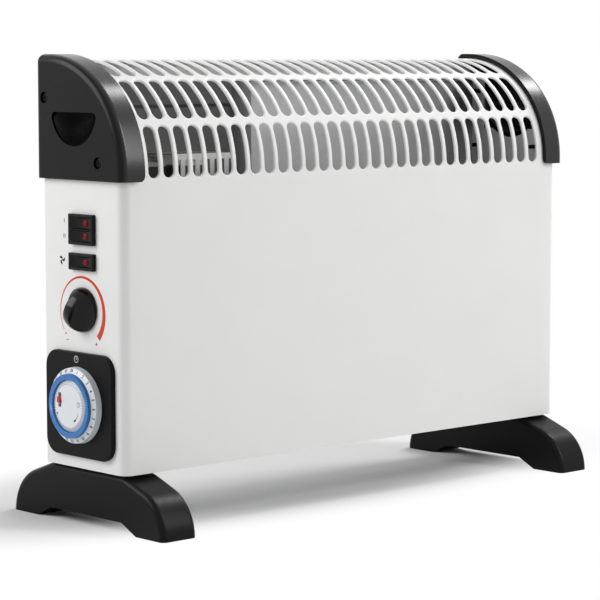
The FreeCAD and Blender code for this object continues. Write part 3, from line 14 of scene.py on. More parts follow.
import bpy
import numpy as np
from mathutils import Euler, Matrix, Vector


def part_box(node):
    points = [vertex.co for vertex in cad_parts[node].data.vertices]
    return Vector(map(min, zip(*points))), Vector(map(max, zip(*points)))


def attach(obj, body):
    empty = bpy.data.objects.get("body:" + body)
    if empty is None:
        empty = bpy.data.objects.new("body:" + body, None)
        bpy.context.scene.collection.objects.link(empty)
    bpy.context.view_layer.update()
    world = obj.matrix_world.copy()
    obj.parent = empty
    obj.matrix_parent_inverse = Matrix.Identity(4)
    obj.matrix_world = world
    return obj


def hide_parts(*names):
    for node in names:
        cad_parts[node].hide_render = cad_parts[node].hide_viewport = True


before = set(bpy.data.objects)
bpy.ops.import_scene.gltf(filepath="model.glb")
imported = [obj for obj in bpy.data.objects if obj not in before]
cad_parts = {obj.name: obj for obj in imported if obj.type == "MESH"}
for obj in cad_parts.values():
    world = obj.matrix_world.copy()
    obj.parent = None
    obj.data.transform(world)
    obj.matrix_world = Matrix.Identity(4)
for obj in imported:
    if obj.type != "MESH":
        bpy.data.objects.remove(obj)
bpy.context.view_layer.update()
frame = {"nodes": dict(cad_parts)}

LOG = logging.getLogger("heater")
Array = np.ndarray
Socket = bpy.types.NodeSocket
Inputs = dict[str | int, object]
Colour = tuple[float, float, float]
Spot = tuple[float, float]
Line = tuple[Array, Array]
Edge = Callable[[Array, Array], Line]
MM = 0.001
QUARTER = math.pi / 2


class Body(Enum):
    """Bodies of the frame that new pieces ride on."""

    HEATER = "heater"
    DIAL = "dial"


class Axis(Enum):
    """Coordinates, by their place in a point."""

    X = 0
    Y = 1
    Z = 2


class Grain(Enum):
    """Surface patterns that a finish can have."""

    ORANGE_PEEL = "orange_peel"
    MOULD_TEXTURE = "mould_texture"
    POLISHED = "polished"
    SPANGLE = "spangle"
    BRUSHED = "brushed"
    FLAKES = "flakes"
    LAYERS = "layers"


# Shader nodes


class Nodes:
    """Adds nodes to one shader tree and joins them."""

    def __init__(self, tree: bpy.types.NodeTree) -> None:
        """Takes the tree to work on."""
        self.tree = tree

    def feed(self, node: bpy.types.Node, inputs: Inputs) -> None:
        """Fills a node's inputs.

        Args:
            node: the node.
            inputs: what each input gets: a socket is linked to it, and anything else becomes its value.
        """
        for name, value in inputs.items():
            if isinstance(value, Socket):
                self.tree.links.new(value, node.inputs[name])
            else:
                node.inputs[name].default_value = value

    def add(self, kind: str, inputs: Inputs, **settings: object) -> bpy.types.Node:
        """Adds a node.

        Args:
            kind: type of the node, without the words that all shader nodes' types start with.
            inputs: what its inputs get, as in feed.
            settings: properties to set before that.

        Returns:
            The new node.
        """
        node = self.tree.nodes.new(f"ShaderNode{kind}")
        for name, value in settings.items():
            setattr(node, name, value)
        self.feed(node, inputs)
        return node

    def computed(self, operation: str, *values: Socket | float) -> Socket:
        """The result of a math node on the given values."""
        return self.add("Math", dict(enumerate(values)), operation=operation).outputs[0]

    def ranged(self, value: Socket, run: Spot, low: float = 0.0, high: float = 1.0) -> Socket:
        """A value that goes from low to high while another goes through a run, and is held beyond it."""
        inputs = {"Value": value, "From Min": run[0], "From Max": run[1], "To Min": low, "To Max": high}
        return self.add("MapRange", inputs).outputs["Result"]

    def facing(self, axis: Axis) -> Socket:
        """One coordinate of the surface's normal, in the object's own axes."""
        normal = self.add("TexCoord", {}).outputs["Normal"]
        return self.add("SeparateXYZ", {"Vector": normal}).outputs[axis.name]

    def seen(self) -> Socket:
        """A mask of what the camera sees, straight or through gloss or glass."""
        rays = self.add("LightPath", {}).outputs
        shown = self.computed("MAXIMUM", rays["Is Camera Ray"], rays["Is Glossy Ray"])
        return self.computed("MAXIMUM", shown, rays["Is Transmission Ray"])


@dataclass(frozen=True)
class Noise:
    """One layer of noise: its fineness as a multiple of the finish's scale, and its octaves."""

    factor: float
    octaves: float


# Layers of the surface patterns, with their shares in a mix and their stretch along each axis

CLOUD = Noise(0.012, 3.0)
FAINT_CLOUD = 0.4
HALF_CLOUD = 0.5
PEEL = Noise(1.0, 1.0)
PEEL_WAVES = Noise(0.4, 0.0)
PEEL_WAVES_SHARE = 0.4
PEEL_GLOSS = Noise(0.05, 2.0)
PIT_GRIT = Noise(2.2, 2.0)
PIT_GRIT_SHARE = 0.45
PIT_GLOSS = Noise(0.35, 2.0)
POLISH_WAVES = Noise(0.06, 1.0)
POLISH_SMEARS = Noise(0.3, 4.0)
SPANGLE_WAVES = Noise(0.8, 1.0)
BRUSH_LINES = Noise(1.0, 3.0)
BRUSH_STRETCH = (0.04, 1.0, 1.0)
FLAKE_STRETCH = (0.5, 1.0, 1.0)
LAYER_BEND = 0.4


class GrainGroup(Nodes):
    """A node group that turns Object coordinates into a height, a tone and a gloss mask."""

    def __init__(self, name: str) -> None:
        """Makes an empty group with its sockets.

        Args:
            name: name of the group.
        """
        super().__init__(bpy.data.node_groups.new(name, "ShaderNodeTree"))
        ways = {"Scale": "INPUT", "Height": "OUTPUT", "Tone": "OUTPUT", "Gloss": "OUTPUT"}
        for socket, way in ways.items():
            self.tree.interface.new_socket(socket, in_out=way, socket_type="NodeSocketFloat")
        self.given = self.tree.nodes.new("NodeGroupInput")
        self.result = self.tree.nodes.new("NodeGroupOutput")
        self.coordinates = self.add("TexCoord", {}).outputs["Object"]

    def stretched(self, ways: Sequence[float]) -> Socket:
        """Object coordinates times a factor for each axis."""
        return self.add("Mapping", {"Scale": ways, "Vector": self.coordinates}).outputs["Vector"]

    def noise(self, layer: Noise, vector: Socket | None = None) -> Socket:
        """A layer of noise.

        Args:
            layer: its fineness and octaves.
            vector: coordinates to read, or None for plain Object coordinates.

        Returns:
            The socket with the noise value.
        """
        scale = self.computed("MULTIPLY", self.given.outputs["Scale"], layer.factor)
        inputs = {"Scale": scale, "Detail": layer.octaves, "Vector": vector or self.coordinates}
        return self.add("TexNoise", inputs).outputs["Fac"]

    def cells(self, output: str, vector: Socket | None = None) -> Socket:
        """Voronoi cells at the finish's scale.

        Args:
            output: which of the texture's outputs to take.
            vector: coordinates to read, or None for plain Object coordinates.

        Returns:
            The socket with the chosen output.
        """
        inputs = {"Scale": self.given.outputs["Scale"], "Vector": vector or self.coordinates}
        return self.add("TexVoronoi", inputs).outputs[output]

    def mixed(self, first: Socket, second: Socket, share: float) -> Socket:
        """Mean of two values, where the share is the second one's weight."""
        inputs = {"Factor": share, "A": first, "B": second}
        return self.add("Mix", inputs, data_type="FLOAT").outputs["Result"]

    def close(self, height: Socket, tone: Socket, gloss: Socket) -> bpy.types.NodeTree:
        """Links the group's outputs and returns the finished group."""
        self.feed(self.result, {"Height": height, "Tone": tone, "Gloss": gloss})
        return self.tree


def grain_group(grain: Grain) -> bpy.types.NodeTree:
    """The node group of a surface pattern, built once.

    Args:
        grain: which pattern.

    Returns:
        The group.
    """
    name = f"grain_{grain.value}"
    if name in bpy.data.node_groups:
        return bpy.data.node_groups[name]
    group = GrainGroup(name)
    cloud = group.noise(CLOUD)
    if grain is Grain.ORANGE_PEEL:
        peel = group.mixed(group.noise(PEEL), group.noise(PEEL_WAVES), PEEL_WAVES_SHARE)
        return group.close(peel, cloud, group.noise(PEEL_GLOSS))
    if grain is Grain.MOULD_TEXTURE:
        pits = group.mixed(group.cells("Distance"), group.noise(PIT_GRIT), PIT_GRIT_SHARE)
        return group.close(pits, cloud, group.noise(PIT_GLOSS))
    if grain is Grain.POLISHED:
        return group.close(group.noise(POLISH_WAVES), cloud, group.noise(POLISH_SMEARS))
    if grain is Grain.SPANGLE:
        shine = group.add("RGBToBW", {"Color": group.cells("Color")}).outputs["Val"]
        return group.close(group.noise(SPANGLE_WAVES), group.mixed(shine, cloud, FAINT_CLOUD), shine)
    if grain is Grain.LAYERS:
        scale = group.given.outputs["Scale"]
        inputs = {"Scale": scale, "Distortion": LAYER_BEND, "Vector": group.coordinates}
        wave = group.add("TexWave", inputs, bands_direction="Y").outputs["Fac"]
        return group.close(wave, group.mixed(wave, cloud, FAINT_CLOUD), cloud)
    if grain is Grain.BRUSHED:
        marks = group.noise(BRUSH_LINES, group.stretched(BRUSH_STRETCH))
    else:
        marks = group.cells("Distance", group.stretched(FLAKE_STRETCH))
    return group.close(marks, group.mixed(marks, cloud, HALF_CLOUD), marks)


# Runs of a pattern's tone and gloss, and of a normal's coordinate, over which a finish changes

TONE_RUN = (0.25, 0.75)
GLOSS_RUN = (0.2, 0.8)
# Run of the normal's Y over which a rear sheet's inner side takes its painted shade
PAINTED_SHADE_RUN = (-0.2, -0.6)
RIM_RUN = (0.7, 0.3)
SMOOTHEST = 0.02


@dataclass(frozen=True)
class Finish:
    """One finish: a base colour and how its pattern, gloss and tone vary over the surface.

    The pattern's scale is in features per metre, and its height is in millimetres.
    """

    name: str
    colour: Colour
    roughness: float
    grain: Grain
    scale: float
    height: float
    tone: float = 0.06
    gloss: float = 0.08
    metallic: float = 0.0
    rim_coat: float = 0.0
    specular: float = 0.5
    # Near-black colour painted as shade on faces that look to the front: the inner side of a rear sheet, in
    # the casing's shadow
    inside: Colour | None = None

    def material(self) -> bpy.types.Material:
        """The finish as a material, built once."""
        title = f"{self.name}_finish"
        if title in bpy.data.materials:
            return bpy.data.materials[title]
        material = bpy.data.materials.new(title)
        material.use_nodes = True
        nodes = Nodes(material.node_tree)
        pattern = nodes.add("Group", {"Scale": self.scale}, node_tree=grain_group(self.grain)).outputs
        relief = {"Height": pattern["Height"], "Strength": 1.0, "Distance": self.height * MM}
        low, high = max(SMOOTHEST, self.roughness - self.gloss), self.roughness + self.gloss
        nodes.feed(material.node_tree.nodes["Principled BSDF"], {
            "Base Color": self._colour(nodes, pattern["Tone"]),
            "Metallic": self.metallic,
            "Roughness": nodes.ranged(pattern["Gloss"], GLOSS_RUN, low, high),
            "Specular IOR Level": self.specular,
            "Normal": nodes.add("Bump", relief).outputs["Normal"],
            **self._coat(nodes),
        })
        return material

    def _drift(self, nodes: Nodes, tone: Socket, colour: Colour) -> Socket:
        """A colour that runs from a darker to a lighter tone with the pattern.

        Args:
            nodes: the material's nodes.
            tone: the pattern's tone.
            colour: the mean colour.

        Returns:
            The socket with the colour.
        """
        ramp = nodes.add("ValToRGB", {"Fac": tone})
        factors = (1 - self.tone, 1 + self.tone)
        for element, place, factor in zip(ramp.color_ramp.elements, TONE_RUN, factors):
            element.position = place
            element.color = (*[min(1.0, part * factor) for part in colour], 1.0)
        return ramp.outputs["Color"]

    def _colour(self, nodes: Nodes, tone: Socket) -> Socket:
        """The base colour, with a dark colour painted as shade on the inner side of a rear sheet, which looks
        to the front.

        Args:
            nodes: the material's nodes.
            tone: the pattern's tone.

        Returns:
            The socket with the colour.
        """
        colour = self._drift(nodes, tone, self.colour)
        if not self.inside:
            return colour
        # Painted shade: faces that look to the front take the dark colour instead of the paint's own
        painted_shade_mask = nodes.ranged(nodes.facing(Axis.Y), PAINTED_SHADE_RUN)
        inputs = {"Factor": painted_shade_mask, "A": colour, "B": self._drift(nodes, tone, self.inside)}
        return nodes.add("Mix", inputs, data_type="RGBA").outputs["Result"]

    def _coat(self, nodes: Nodes) -> Inputs:
        """Shader inputs that give a clear coat to the faces that don't look to the heater's ends.

        Args:
            nodes: the material's nodes.

        Returns:
            The inputs, or none if the finish has no coat.
        """
        if not self.rim_coat:
            return {}
        endwards = nodes.computed("ABSOLUTE", nodes.facing(Axis.X))
        weight = nodes.ranged(endwards, RIM_RUN, high=self.rim_coat)
        return {"Coat Weight": weight, "Coat Roughness": self.roughness}


@dataclass(frozen=True)
class Finishes:
    """Every finish of the heater."""

    powder_coat: Finish = Finish(
        "white_powder_coat", (0.80, 0.80, 0.795), 0.36, Grain.ORANGE_PEEL, 1400, 0.012, tone=0.012,
        gloss=0.05)
    # The back panel's inner face is painted near-black as shade, for the shadow within the casing
    panel_coat: Finish = replace(powder_coat, name="white_panel_coat", inside=(0.09, 0.092, 0.09))
    moulding: Finish = Finish(
        "black_moulding", (0.005, 0.005, 0.0053), 0.25, Grain.MOULD_TEXTURE, 1500, 0.004, tone=0.2,
        gloss=0.04, specular=0.14, rim_coat=0.45)
    foot_moulding: Finish = Finish(
        "black_foot_moulding", (0.004, 0.004, 0.0043), 0.34, Grain.MOULD_TEXTURE, 1300, 0.008, tone=0.2,
        specular=0.11)
    control: Finish = Finish(
        "black_control", (0.005, 0.005, 0.0053), 0.30, Grain.POLISHED, 900, 0.008, tone=0.15, gloss=0.05,
        specular=0.14)
    knob: Finish = Finish(
        "black_knob", (0.004, 0.004, 0.0045), 0.16, Grain.POLISHED, 900, 0.006, tone=0.15, gloss=0.04,
        specular=0.2)
    plate: Finish = Finish(
        "black_plate", (0.005, 0.005, 0.0053), 0.40, Grain.POLISHED, 900, 0.01, tone=0.15, gloss=0.05,
        specular=0.09)
    lens: Finish = Finish(
        "red_lens", (0.22, 0.001, 0.008), 0.07, Grain.POLISHED, 1500, 0.01, tone=0.2, gloss=0.03,
        specular=0.14)
    slide: Finish = Finish(
        "red_slide", (0.55, 0.02, 0.03), 0.3, Grain.POLISHED, 1200, 0.01, tone=0.1)
    white_moulding: Finish = Finish(
        "white_moulding", (0.74, 0.77, 0.80), 0.33, Grain.POLISHED, 1200, 0.01, tone=0.02)
    blue_moulding: Finish = Finish(
        "blue_moulding", (0.055, 0.23, 0.60), 0.34, Grain.POLISHED, 1500, 0.01, tone=0.08)
    bright_sheet: Finish = Finish(
        "galvanised_sheet", (0.60, 0.61, 0.62), 0.34, Grain.SPANGLE, 160, 0.01, tone=0.10, metallic=1.0)
    satin_sheet: Finish = Finish(
        "satin_sheet", (0.46, 0.46, 0.465), 0.48, Grain.POLISHED, 700, 0.004, tone=0.05, metallic=1.0)
    zinc: Finish = Finish(
        "zinc_plating", (0.55, 0.55, 0.54), 0.32, Grain.BRUSHED, 2500, 0.01, metallic=1.0)
    # Black screws made darker and duller still, as painted shade of the deep recesses they sit in
    black_screw: Finish = Finish(
        "black_screw", (0.006, 0.006, 0.0063), 0.3, Grain.BRUSHED, 2500, 0.006, tone=0.2, specular=0.08)
    board: Finish = Finish(
        "mica_board", (0.46, 0.40, 0.30), 0.45, Grain.FLAKES, 400, 0.03, tone=0.25)
    ribbon: Finish = Finish(
        "resistance_ribbon", (0.34, 0.32, 0.30), 0.42, Grain.BRUSHED, 3000, 0.01, tone=0.2, metallic=1.0)
    laminations: Finish = Finish(
        "laminations", (0.30, 0.30, 0.31), 0.45, Grain.LAYERS, 300, 0.06, tone=0.3, metallic=1.0)
    winding: Finish = Finish(
        "copper_winding", (0.50, 0.17, 0.06), 0.35, Grain.LAYERS, 500, 0.08, tone=0.3, metallic=1.0)
    brass: Finish = Finish(
        "terminal_brass", (0.62, 0.46, 0.20), 0.3, Grain.BRUSHED, 2500, 0.01, metallic=1.0)
    thermoset: Finish = Finish(
        "dark_moulding", (0.045, 0.036, 0.032), 0.5, Grain.MOULD_TEXTURE, 900, 0.03, tone=0.2)
    red_ink: Finish = Finish(
        "red_print", (0.62, 0.060, 0.022), 0.42, Grain.ORANGE_PEEL, 1400, 0.01, tone=0.03, specular=0.2)
    dark_ink: Finish = Finish(
        "dark_print", (0.012, 0.012, 0.013), 0.45, Grain.ORANGE_PEEL, 1400, 0.01, tone=0.1, specular=0.2)
    grey_ink: Finish = Finish(
        "grey_print", (0.20, 0.20, 0.21), 0.45, Grain.ORANGE_PEEL, 1400, 0.01, tone=0.1)
    white_ink: Finish = Finish(
        "white_print", (0.72, 0.72, 0.72), 0.45, Grain.ORANGE_PEEL, 1400, 0.01, tone=0.02)


FINISHES = Finishes()


# Meshes from arrays

# Points this near are one, and the shift keeps round coordinates off the borders of the cells compared
WELD_GAP = 0.002
WELD_SHIFT = 0.3183
# Edges bent more than this stay sharp
CREASE_DEG = 35.0


def placed(name: str, data: bpy.types.ID) -> bpy.types.Object:
    """A new object in the scene."""
    item = bpy.data.objects.new(name, data)
    bpy.context.scene.collection.objects.link(item)
    return item


def node_box(name: str) -> tuple[Array, Array]:
    """Lowest and highest corners of a CAD node at rest, in millimetres."""
    low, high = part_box(name)
    return np.array(low) / MM, np.array(high) / MM


@dataclass
class Surface:
    """A mesh as arrays: points in millimetres, and quads or triangles that name them."""

    points: Array
    faces: list[Array]

    @staticmethod
    def grid(points: Array, wrap: bool = False) -> Surface:
        """A surface from points on a two-parameter grid.

        Args:
            points: array of rows by columns by 3.
            wrap: whether the last column joins the first.

        Returns:
            The surface, one quad to each mesh of the grid.
        """
        rows, columns = points.shape[:2]
        index = np.arange(rows * columns).reshape(rows, columns)
        if wrap:
            index = np.concatenate([index, index[:, :1]], axis=1)
        quads = np.stack([index[:-1, :-1], index[:-1, 1:], index[1:, 1:], index[1:, :-1]], axis=-1)
        return Surface(points.reshape(-1, 3), [quads.reshape(-1, 4)])

    @staticmethod
    def joined(parts: Sequence[Surface]) -> Surface:
        """Several surfaces as one.

        Args:
            parts: the surfaces.

        Returns:
            One surface with all their points and faces.
        """
        faces: list[Array] = []
        start = 0
        for part in parts:
            faces += [block + start for block in part.faces]
            start += len(part.points)
        return Surface(np.concatenate([part.points for part in parts]), faces)

    @staticmethod
    def beam(sections: Array, closed: bool) -> Surface:
        """Closed bar through sections of the same number of points.

        Args:
            sections: array of sections by points by 3.
            closed: whether the last section joins the first; otherwise both ends get a face.

        Returns:
            The bar, facing outwards.
        """
        count, corners = sections.shape[:2]
        index = np.arange(count * corners).reshape(count, corners)
        ring = np.concatenate([index, index[:1]]) if closed else index
        ahead = np.roll(ring, -1, axis=1)
        sides = np.stack([ring[:-1], ahead[:-1], ahead[1:], ring[1:]], axis=-1).reshape(-1, 4)
        ends = [] if closed else [index[:1, ::-1], index[-1:]]
        return Surface(sections.reshape(-1, 3), [sides, *ends]).outward()

    @staticmethod
    def boxes(corners: Array) -> Surface:
        """Many six-sided blocks.

        Args:
            corners: array of blocks by 8 by 3, four corners of the lower face and then the four above them.

        Returns:
            The blocks, facing outwards.
        """
        sides = np.array([[3, 2, 1, 0], [4, 5, 6, 7], [0, 1, 5, 4], [1, 2, 6, 5], [2, 3, 7, 6], [3, 0, 4, 7]])
        faces = sides[None] + np.arange(len(corners))[:, None, None] * corners.shape[1]
        return Surface(corners.reshape(-1, 3), [faces.reshape(-1, 4)]).outward()

    def outward(self) -> Surface:
        """The surface, turned over if the volume that its faces enclose is negative."""
        volume = 0.0
        for block in self.faces:
            first = self.points[block[:, 0]]
            for step in range(1, block.shape[1] - 1):
                second, third = self.points[block[:, step]], self.points[block[:, step + 1]]
                normal = np.cross(second - first, third - first)
                volume += float(np.einsum("ij,ij->", first - self.points[0], normal))
        return self if volume > 0 else self.flipped()

    def flipped(self) -> Surface:
        """The same surface with its faces turned over."""
        return Surface(self.points, [block[:, ::-1] for block in self.faces])

    def welded(self) -> Surface:
        """The surface with points that lie together made one, and collapsed faces dropped."""
        keys = np.floor(self.points / WELD_GAP + WELD_SHIFT).astype(np.int64)
        _, first, inverse = np.unique(keys, axis=0, return_index=True, return_inverse=True)
        inverse = inverse.reshape(-1)
        faces: list[Array] = []
        for block in self.faces:
            named = inverse[block]
            ordered = np.sort(named, axis=1)
            repeats = (ordered[:, 1:] == ordered[:, :-1]).sum(axis=1)
            faces.append(named[repeats == 0])
            if block.shape[1] == 4:
                faces += self._triangles(named[repeats == 1])
        return Surface(self.points[first], [block for block in faces if len(block)])

    @staticmethod
    def _triangles(quads: Array) -> list[Array]:
        """Triangles left by quads of which one side has collapsed.

        Args:
            quads: quads with one repeated point.

        Returns:
            Blocks of triangles.
        """
        out = []
        for corner in range(4):
            same = quads[:, corner] == quads[:, (corner + 1) % 4]
            keep = [place for place in range(4) if place != corner]
            out.append(quads[same][:, keep])
        return out

    def piece(self, name: str, finish: Finish, body: Body, slot: str, thickness: float = 0.0,
              replaces: Sequence[str] = ()) -> None:
        """Makes the surface a dressed piece of the heater.

        Args:
            name: name of the piece.
            finish: its finish.
            body: the body that it rides on.
            slot: the record's material slot; not used.
            thickness: thickness given to an open sheet, inwards, in millimetres.
            replaces: CAD nodes that it stands for.
        """
        mesh = bpy.data.meshes.new(name)
        faces = [face for block in self.faces for face in block.tolist()]
        mesh.from_pydata((self.points * MM).tolist(), [], faces)
        mesh.validate()
        piece = placed(name, mesh)
        if thickness:
            sheet = piece.modifiers.new("sheet", "SOLIDIFY")
            sheet.thickness = thickness * MM
            sheet.offset = -1.0
            sheet.use_even_offset = True
            finished = piece.evaluated_get(bpy.context.evaluated_depsgraph_get())
            piece.data = bpy.data.meshes.new_from_object(finished)
            piece.modifiers.clear()
            piece.data.name = name
        piece.data.shade_smooth()
        piece.data.set_sharp_from_angle(angle=math.radians(CREASE_DEG))
        piece.data.materials.clear()
        piece.data.materials.append(finish.material())
        if replaces:
            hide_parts(*replaces)
        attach(piece, body.value)
        LOG.info("%s: %d faces", name, len(piece.data.polygons))


# The casing


@dataclass
class Casing:
    """White sheet casing with its slotted curved top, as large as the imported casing."""

    sheet: float = 0.8
    corner: float = 9.0
    front_radius: float = 89.9
    joint_deg: float = 35.0
    top_flat: float = 6.6
    side_flange: float = 44.0
    front_flange: float = 14.0
    rear_flange: float = 12.0
    rear_lip: float = 17.9
    rear_bend: float = 6.0
    wall_drop: float = 66.4
    upright: float = 11.0
    notch_y: float = 2.3
    notch_drop: float = 39.8
    notch_radius: float = 34.8
    slot_width: float = 10.8
    slot_length: float = 43.0
    slot_pitch: float = 15.62
    row_pitch: float = 49.5
    columns: int = 30
    rows: int = 3
    row_rise: float = 2.4
    roll: float = 1.7
    roll_margin: float = 0.2
    lip: float = 1.9
    timer_hole: float = 22.2
    shaft_hole: float = 5.2
    switch_edge: float = 1.4
    roll_steps: int = 6
    end_steps: int = 4
    side_steps: int = 6
    across_steps: int = 8
    hole_steps: int = 8
    wall_steps: int = 17
    notch_steps: int = 13
    head_steps: int = 3
    bend_steps: int = 9
    top_steps: int = 4

    def __post_init__(self) -> None:
        """Takes the outer planes from the frame, and works out the centres of the top's two arcs."""
        low, high = node_box("front_casing")
        self.left, self.front, self.bottom = low
        self.right, self.rear, self.top = high
        self.centre_x = (self.left + self.right) / 2
        angle = math.radians(self.joint_deg)
        grow = (self.rear - self.front - self.top_flat - self.front_radius) / math.sin(angle)
        self.top_radius = self.front_radius + grow
        self.front_arc = self.front_radius * (QUARTER - angle)
        self.top_arc = self.top_radius * angle
        self.top_centre = (self.rear - self.top_flat, self.top - self.top_radius)
        self.front_centre = (self.front + self.front_radius, self.top_centre[1] + grow * math.cos(angle))
        cap_bottom = node_box("left_end_cap")[0][2]
        self.first_row = cap_bottom + self.row_rise - self.front_centre[1]
        self.straight = (self.slot_length - self.slot_width) / 2
        self.half_x = self.slot_pitch / 2
        self.half_run = self.row_pitch / 2

    def outline(self, run: Array, depth: Array) -> Line:
        """Y and Z on the outline of the front, the top and the rear lip, moved inwards along its normal.

        The outline is a line, two tangent arcs, a short line, the arc of the rear bend and a line.

        Args:
            run: length along the outline, 0 where the flat front ends.
            depth: distance inwards.

        Returns:
            Arrays of Y and of Z.
        """
        bend_arc = self.rear_bend * QUARTER
        joints = np.cumsum([0.0, self.front_arc, self.top_arc, self.top_flat - self.rear_bend, bend_arc])
        turn = np.clip(run, 0, joints[1]) / self.front_radius
        turn = turn + np.clip(run - joints[1], 0, self.top_arc) / self.top_radius
        turn = turn + np.clip(run - joints[3], 0, bend_arc) / self.rear_bend
        normal_y, normal_z = -np.cos(turn), np.sin(turn)
        arcs = ((*self.front_centre, self.front_radius), (*self.top_centre, self.top_radius),
                (self.rear - self.rear_bend, self.top - self.rear_bend, self.rear_bend))
        on_arc = [(y + radius * normal_y, z + radius * normal_z) for y, z, radius in arcs]
        still = np.zeros_like(run)
        stretches = [
            (still + self.front, self.front_centre[1] + run), on_arc[0], on_arc[1],
            (self.top_centre[0] + run - joints[2], still + self.top), on_arc[2]]
        last = (still + self.rear, self.top - self.rear_bend - (run - joints[4]))
        tests = [run < joint for joint in joints]
        y, z = (np.select(tests, list(places), end) for places, end in zip(zip(*stretches), last))
        return y - depth * normal_y, z - depth * normal_z

    def cell_steps(self) -> Line:
        """Steps up one side and across one end of a slot's share of the sheet, the last point left out.

        Returns:
            Runs up the side and X across the end, measured from the slot's middle.
        """
        stops = (-self.half_run, -self.straight, self.straight, self.half_run)
        counts = (self.end_steps, self.side_steps, self.end_steps)
        spans = [np.linspace(a, b, n, endpoint=False) for a, b, n in zip(stops, stops[1:], counts)]
        across = np.linspace(self.half_x, -self.half_x, self.across_steps, endpoint=False)
        return np.concatenate(spans), across

    def cell_boundary(self) -> Line:
        """Points round one slot's share of the sheet, a rectangle, with closer steps at its corners.

        Returns:
            X and run of the points, measured from the slot's middle.
        """
        up, across = self.cell_steps()
        side, end = np.full(up.size, self.half_x), np.full(across.size, self.half_run)
        return np.concatenate([side, across, -side, -across]), np.concatenate([up, end, -up, -end])

    def slot_ring(self, x: Array, run: Array, grow: float) -> Line:
        """Points on a stadium round the slot that face the cell's boundary points.

        Straight sides take the boundary's own run. Past them, the way along the boundary to the middle of the
        cell's end is shared out evenly over a quarter circle.

        Args:
            x: boundary points across the slot.
            run: boundary points along the slot.
            grow: distance outside the slot's edge.

        Returns:
            X and run of the ring's points.
        """
        radius = self.slot_width / 2 + grow
        way = np.clip(np.abs(run) - self.straight, 0, None) + (self.half_x - np.abs(x))
        turn = way / (self.half_run - self.straight + self.half_x) * QUARTER
        ring_x = np.where(x < 0, -1.0, 1.0) * radius * np.cos(turn)
        ring_run = np.sign(run) * (np.minimum(np.abs(run), self.straight) + radius * np.sin(turn))
        return ring_x, ring_run

    def grille(self) -> Surface:
        """All slots of the top: each cell runs flat from its boundary, then rolls inwards to a lip.

        Returns:
            The slotted sheet's outer side, mapped on the outline.
        """
        x, run = self.cell_boundary()
        level = np.zeros_like(x)
        rings = [(x, run, level), (*self.slot_ring(x, run, self.roll + self.roll_margin), level)]
        for turn in np.linspace(0, QUARTER, self.roll_steps):
            ring = self.slot_ring(x, run, self.roll * (1 - math.sin(turn)))
            rings.append((*ring, level + self.roll * (1 - math.cos(turn))))
        rings.append((*self.slot_ring(x, run, 0.0), level + self.lip))
        cell = np.stack([np.stack(ring, axis=-1) for ring in rings])
        middle_x = self.centre_x + (np.arange(self.columns) - (self.columns - 1) / 2) * self.slot_pitch
        middle_run = self.first_row + self.slot_length / 2 + np.arange(self.rows) * self.row_pitch
        shifts = np.stack(np.meshgrid(middle_x, middle_run, indexing="ij"), axis=-1).reshape(-1, 2)
        every = np.repeat(cell[None], len(shifts), axis=0)
        every[..., :2] += shifts[:, None, None]
        y, z = self.outline(every[..., 1], every[..., 2])
        points = np.stack([every[..., 0], y, z], axis=-1)
        return Surface.joined([Surface.grid(block, wrap=True) for block in points])

    def grille_x(self) -> Array:
        """X of the points along the grille's straight edges."""
        half = self.columns * self.half_x
        return self.centre_x + np.linspace(-half, half, self.columns * self.across_steps + 1)

    def grille_run(self) -> Array:
        """Runs of the points up the grille's ends."""
        up = self.cell_steps()[0] + self.first_row + self.slot_length / 2
        steps = (up[None] + np.arange(self.rows)[:, None] * self.row_pitch).reshape(-1)
        return np.append(steps, steps[0] + self.rows * self.row_pitch)

    def wrapped(self, x: Array, run: Array) -> Surface:
        """A plain patch of the front and top between lines of X and of run."""
        grid_run, grid_x = np.meshgrid(run, x, indexing="ij")
        return Surface.grid(np.stack([grid_x, *self.outline(grid_run, np.zeros_like(grid_run))], axis=-1))

    @staticmethod
    def plane(fixed: Axis, at: float, first: Array, second: Array) -> Surface:
        """A flat patch of a rectangle's grid, square to one axis.

        Args:
            fixed: the axis that it is square to.
            at: value of that coordinate.
            first: steps along the first free coordinate.
            second: steps along the second free coordinate.

        Returns:
            The patch.
        """
        rows, columns = np.meshgrid(second, first, indexing="ij")
        free = [columns, rows]
        free.insert(fixed.value, np.full_like(rows, at))
        return Surface.grid(np.stack(free, axis=-1))

    def holed(self, y: Array, z: Array, hole: Edge) -> Surface:
        """A rectangle of the control end with a hole: straight lines from its boundary to the hole's edge.

        Args:
            y: steps along the rectangle's level edges.
            z: steps along its upright edges.
            hole: gives the hole's edge point that faces each boundary point.

        Returns:
            The patch in the plane of the control end.
        """
        edge_y = np.concatenate([y[:-1], np.full(z.size - 1, y[-1]), y[:0:-1], np.full(z.size - 1, y[0])])
        edge_z = np.concatenate([np.full(y.size - 1, z[0]), z[:-1], np.full(y.size - 1, z[-1]), z[:0:-1]])
        x = np.full_like(edge_y, self.left)
        rows = [np.stack([x, edge_y, edge_z], axis=-1), np.stack([x, *hole(edge_y, edge_z)], axis=-1)]
        return Surface.grid(np.stack(rows), wrap=True).flipped()

    @staticmethod
    def round_hole(node: str, radius: float) -> Edge:
        """Circle round a node's middle, whose points lie towards the boundary points.

        Args:
            node: the round piece that sits in the hole.
            radius: radius of the hole.

        Returns:
            A function from boundary points to points of the circle.
        """
        _, middle_y, middle_z = np.mean(node_box(node), axis=0)

        def edge(y: Array, z: Array) -> Line:
            """Points of the circle."""
            turn = np.arctan2(z - middle_z, y - middle_y)
            return middle_y + radius * np.cos(turn), middle_z + radius * np.sin(turn)

        return edge

    def square_hole(self, node: str) -> Edge:
        """Rectangle under a switch's rim, made by shrinking the boundary.

        Args:
            node: the switch's housing.

        Returns:
            A function from boundary points to points of the rectangle.
        """
        low, high = node_box(node)

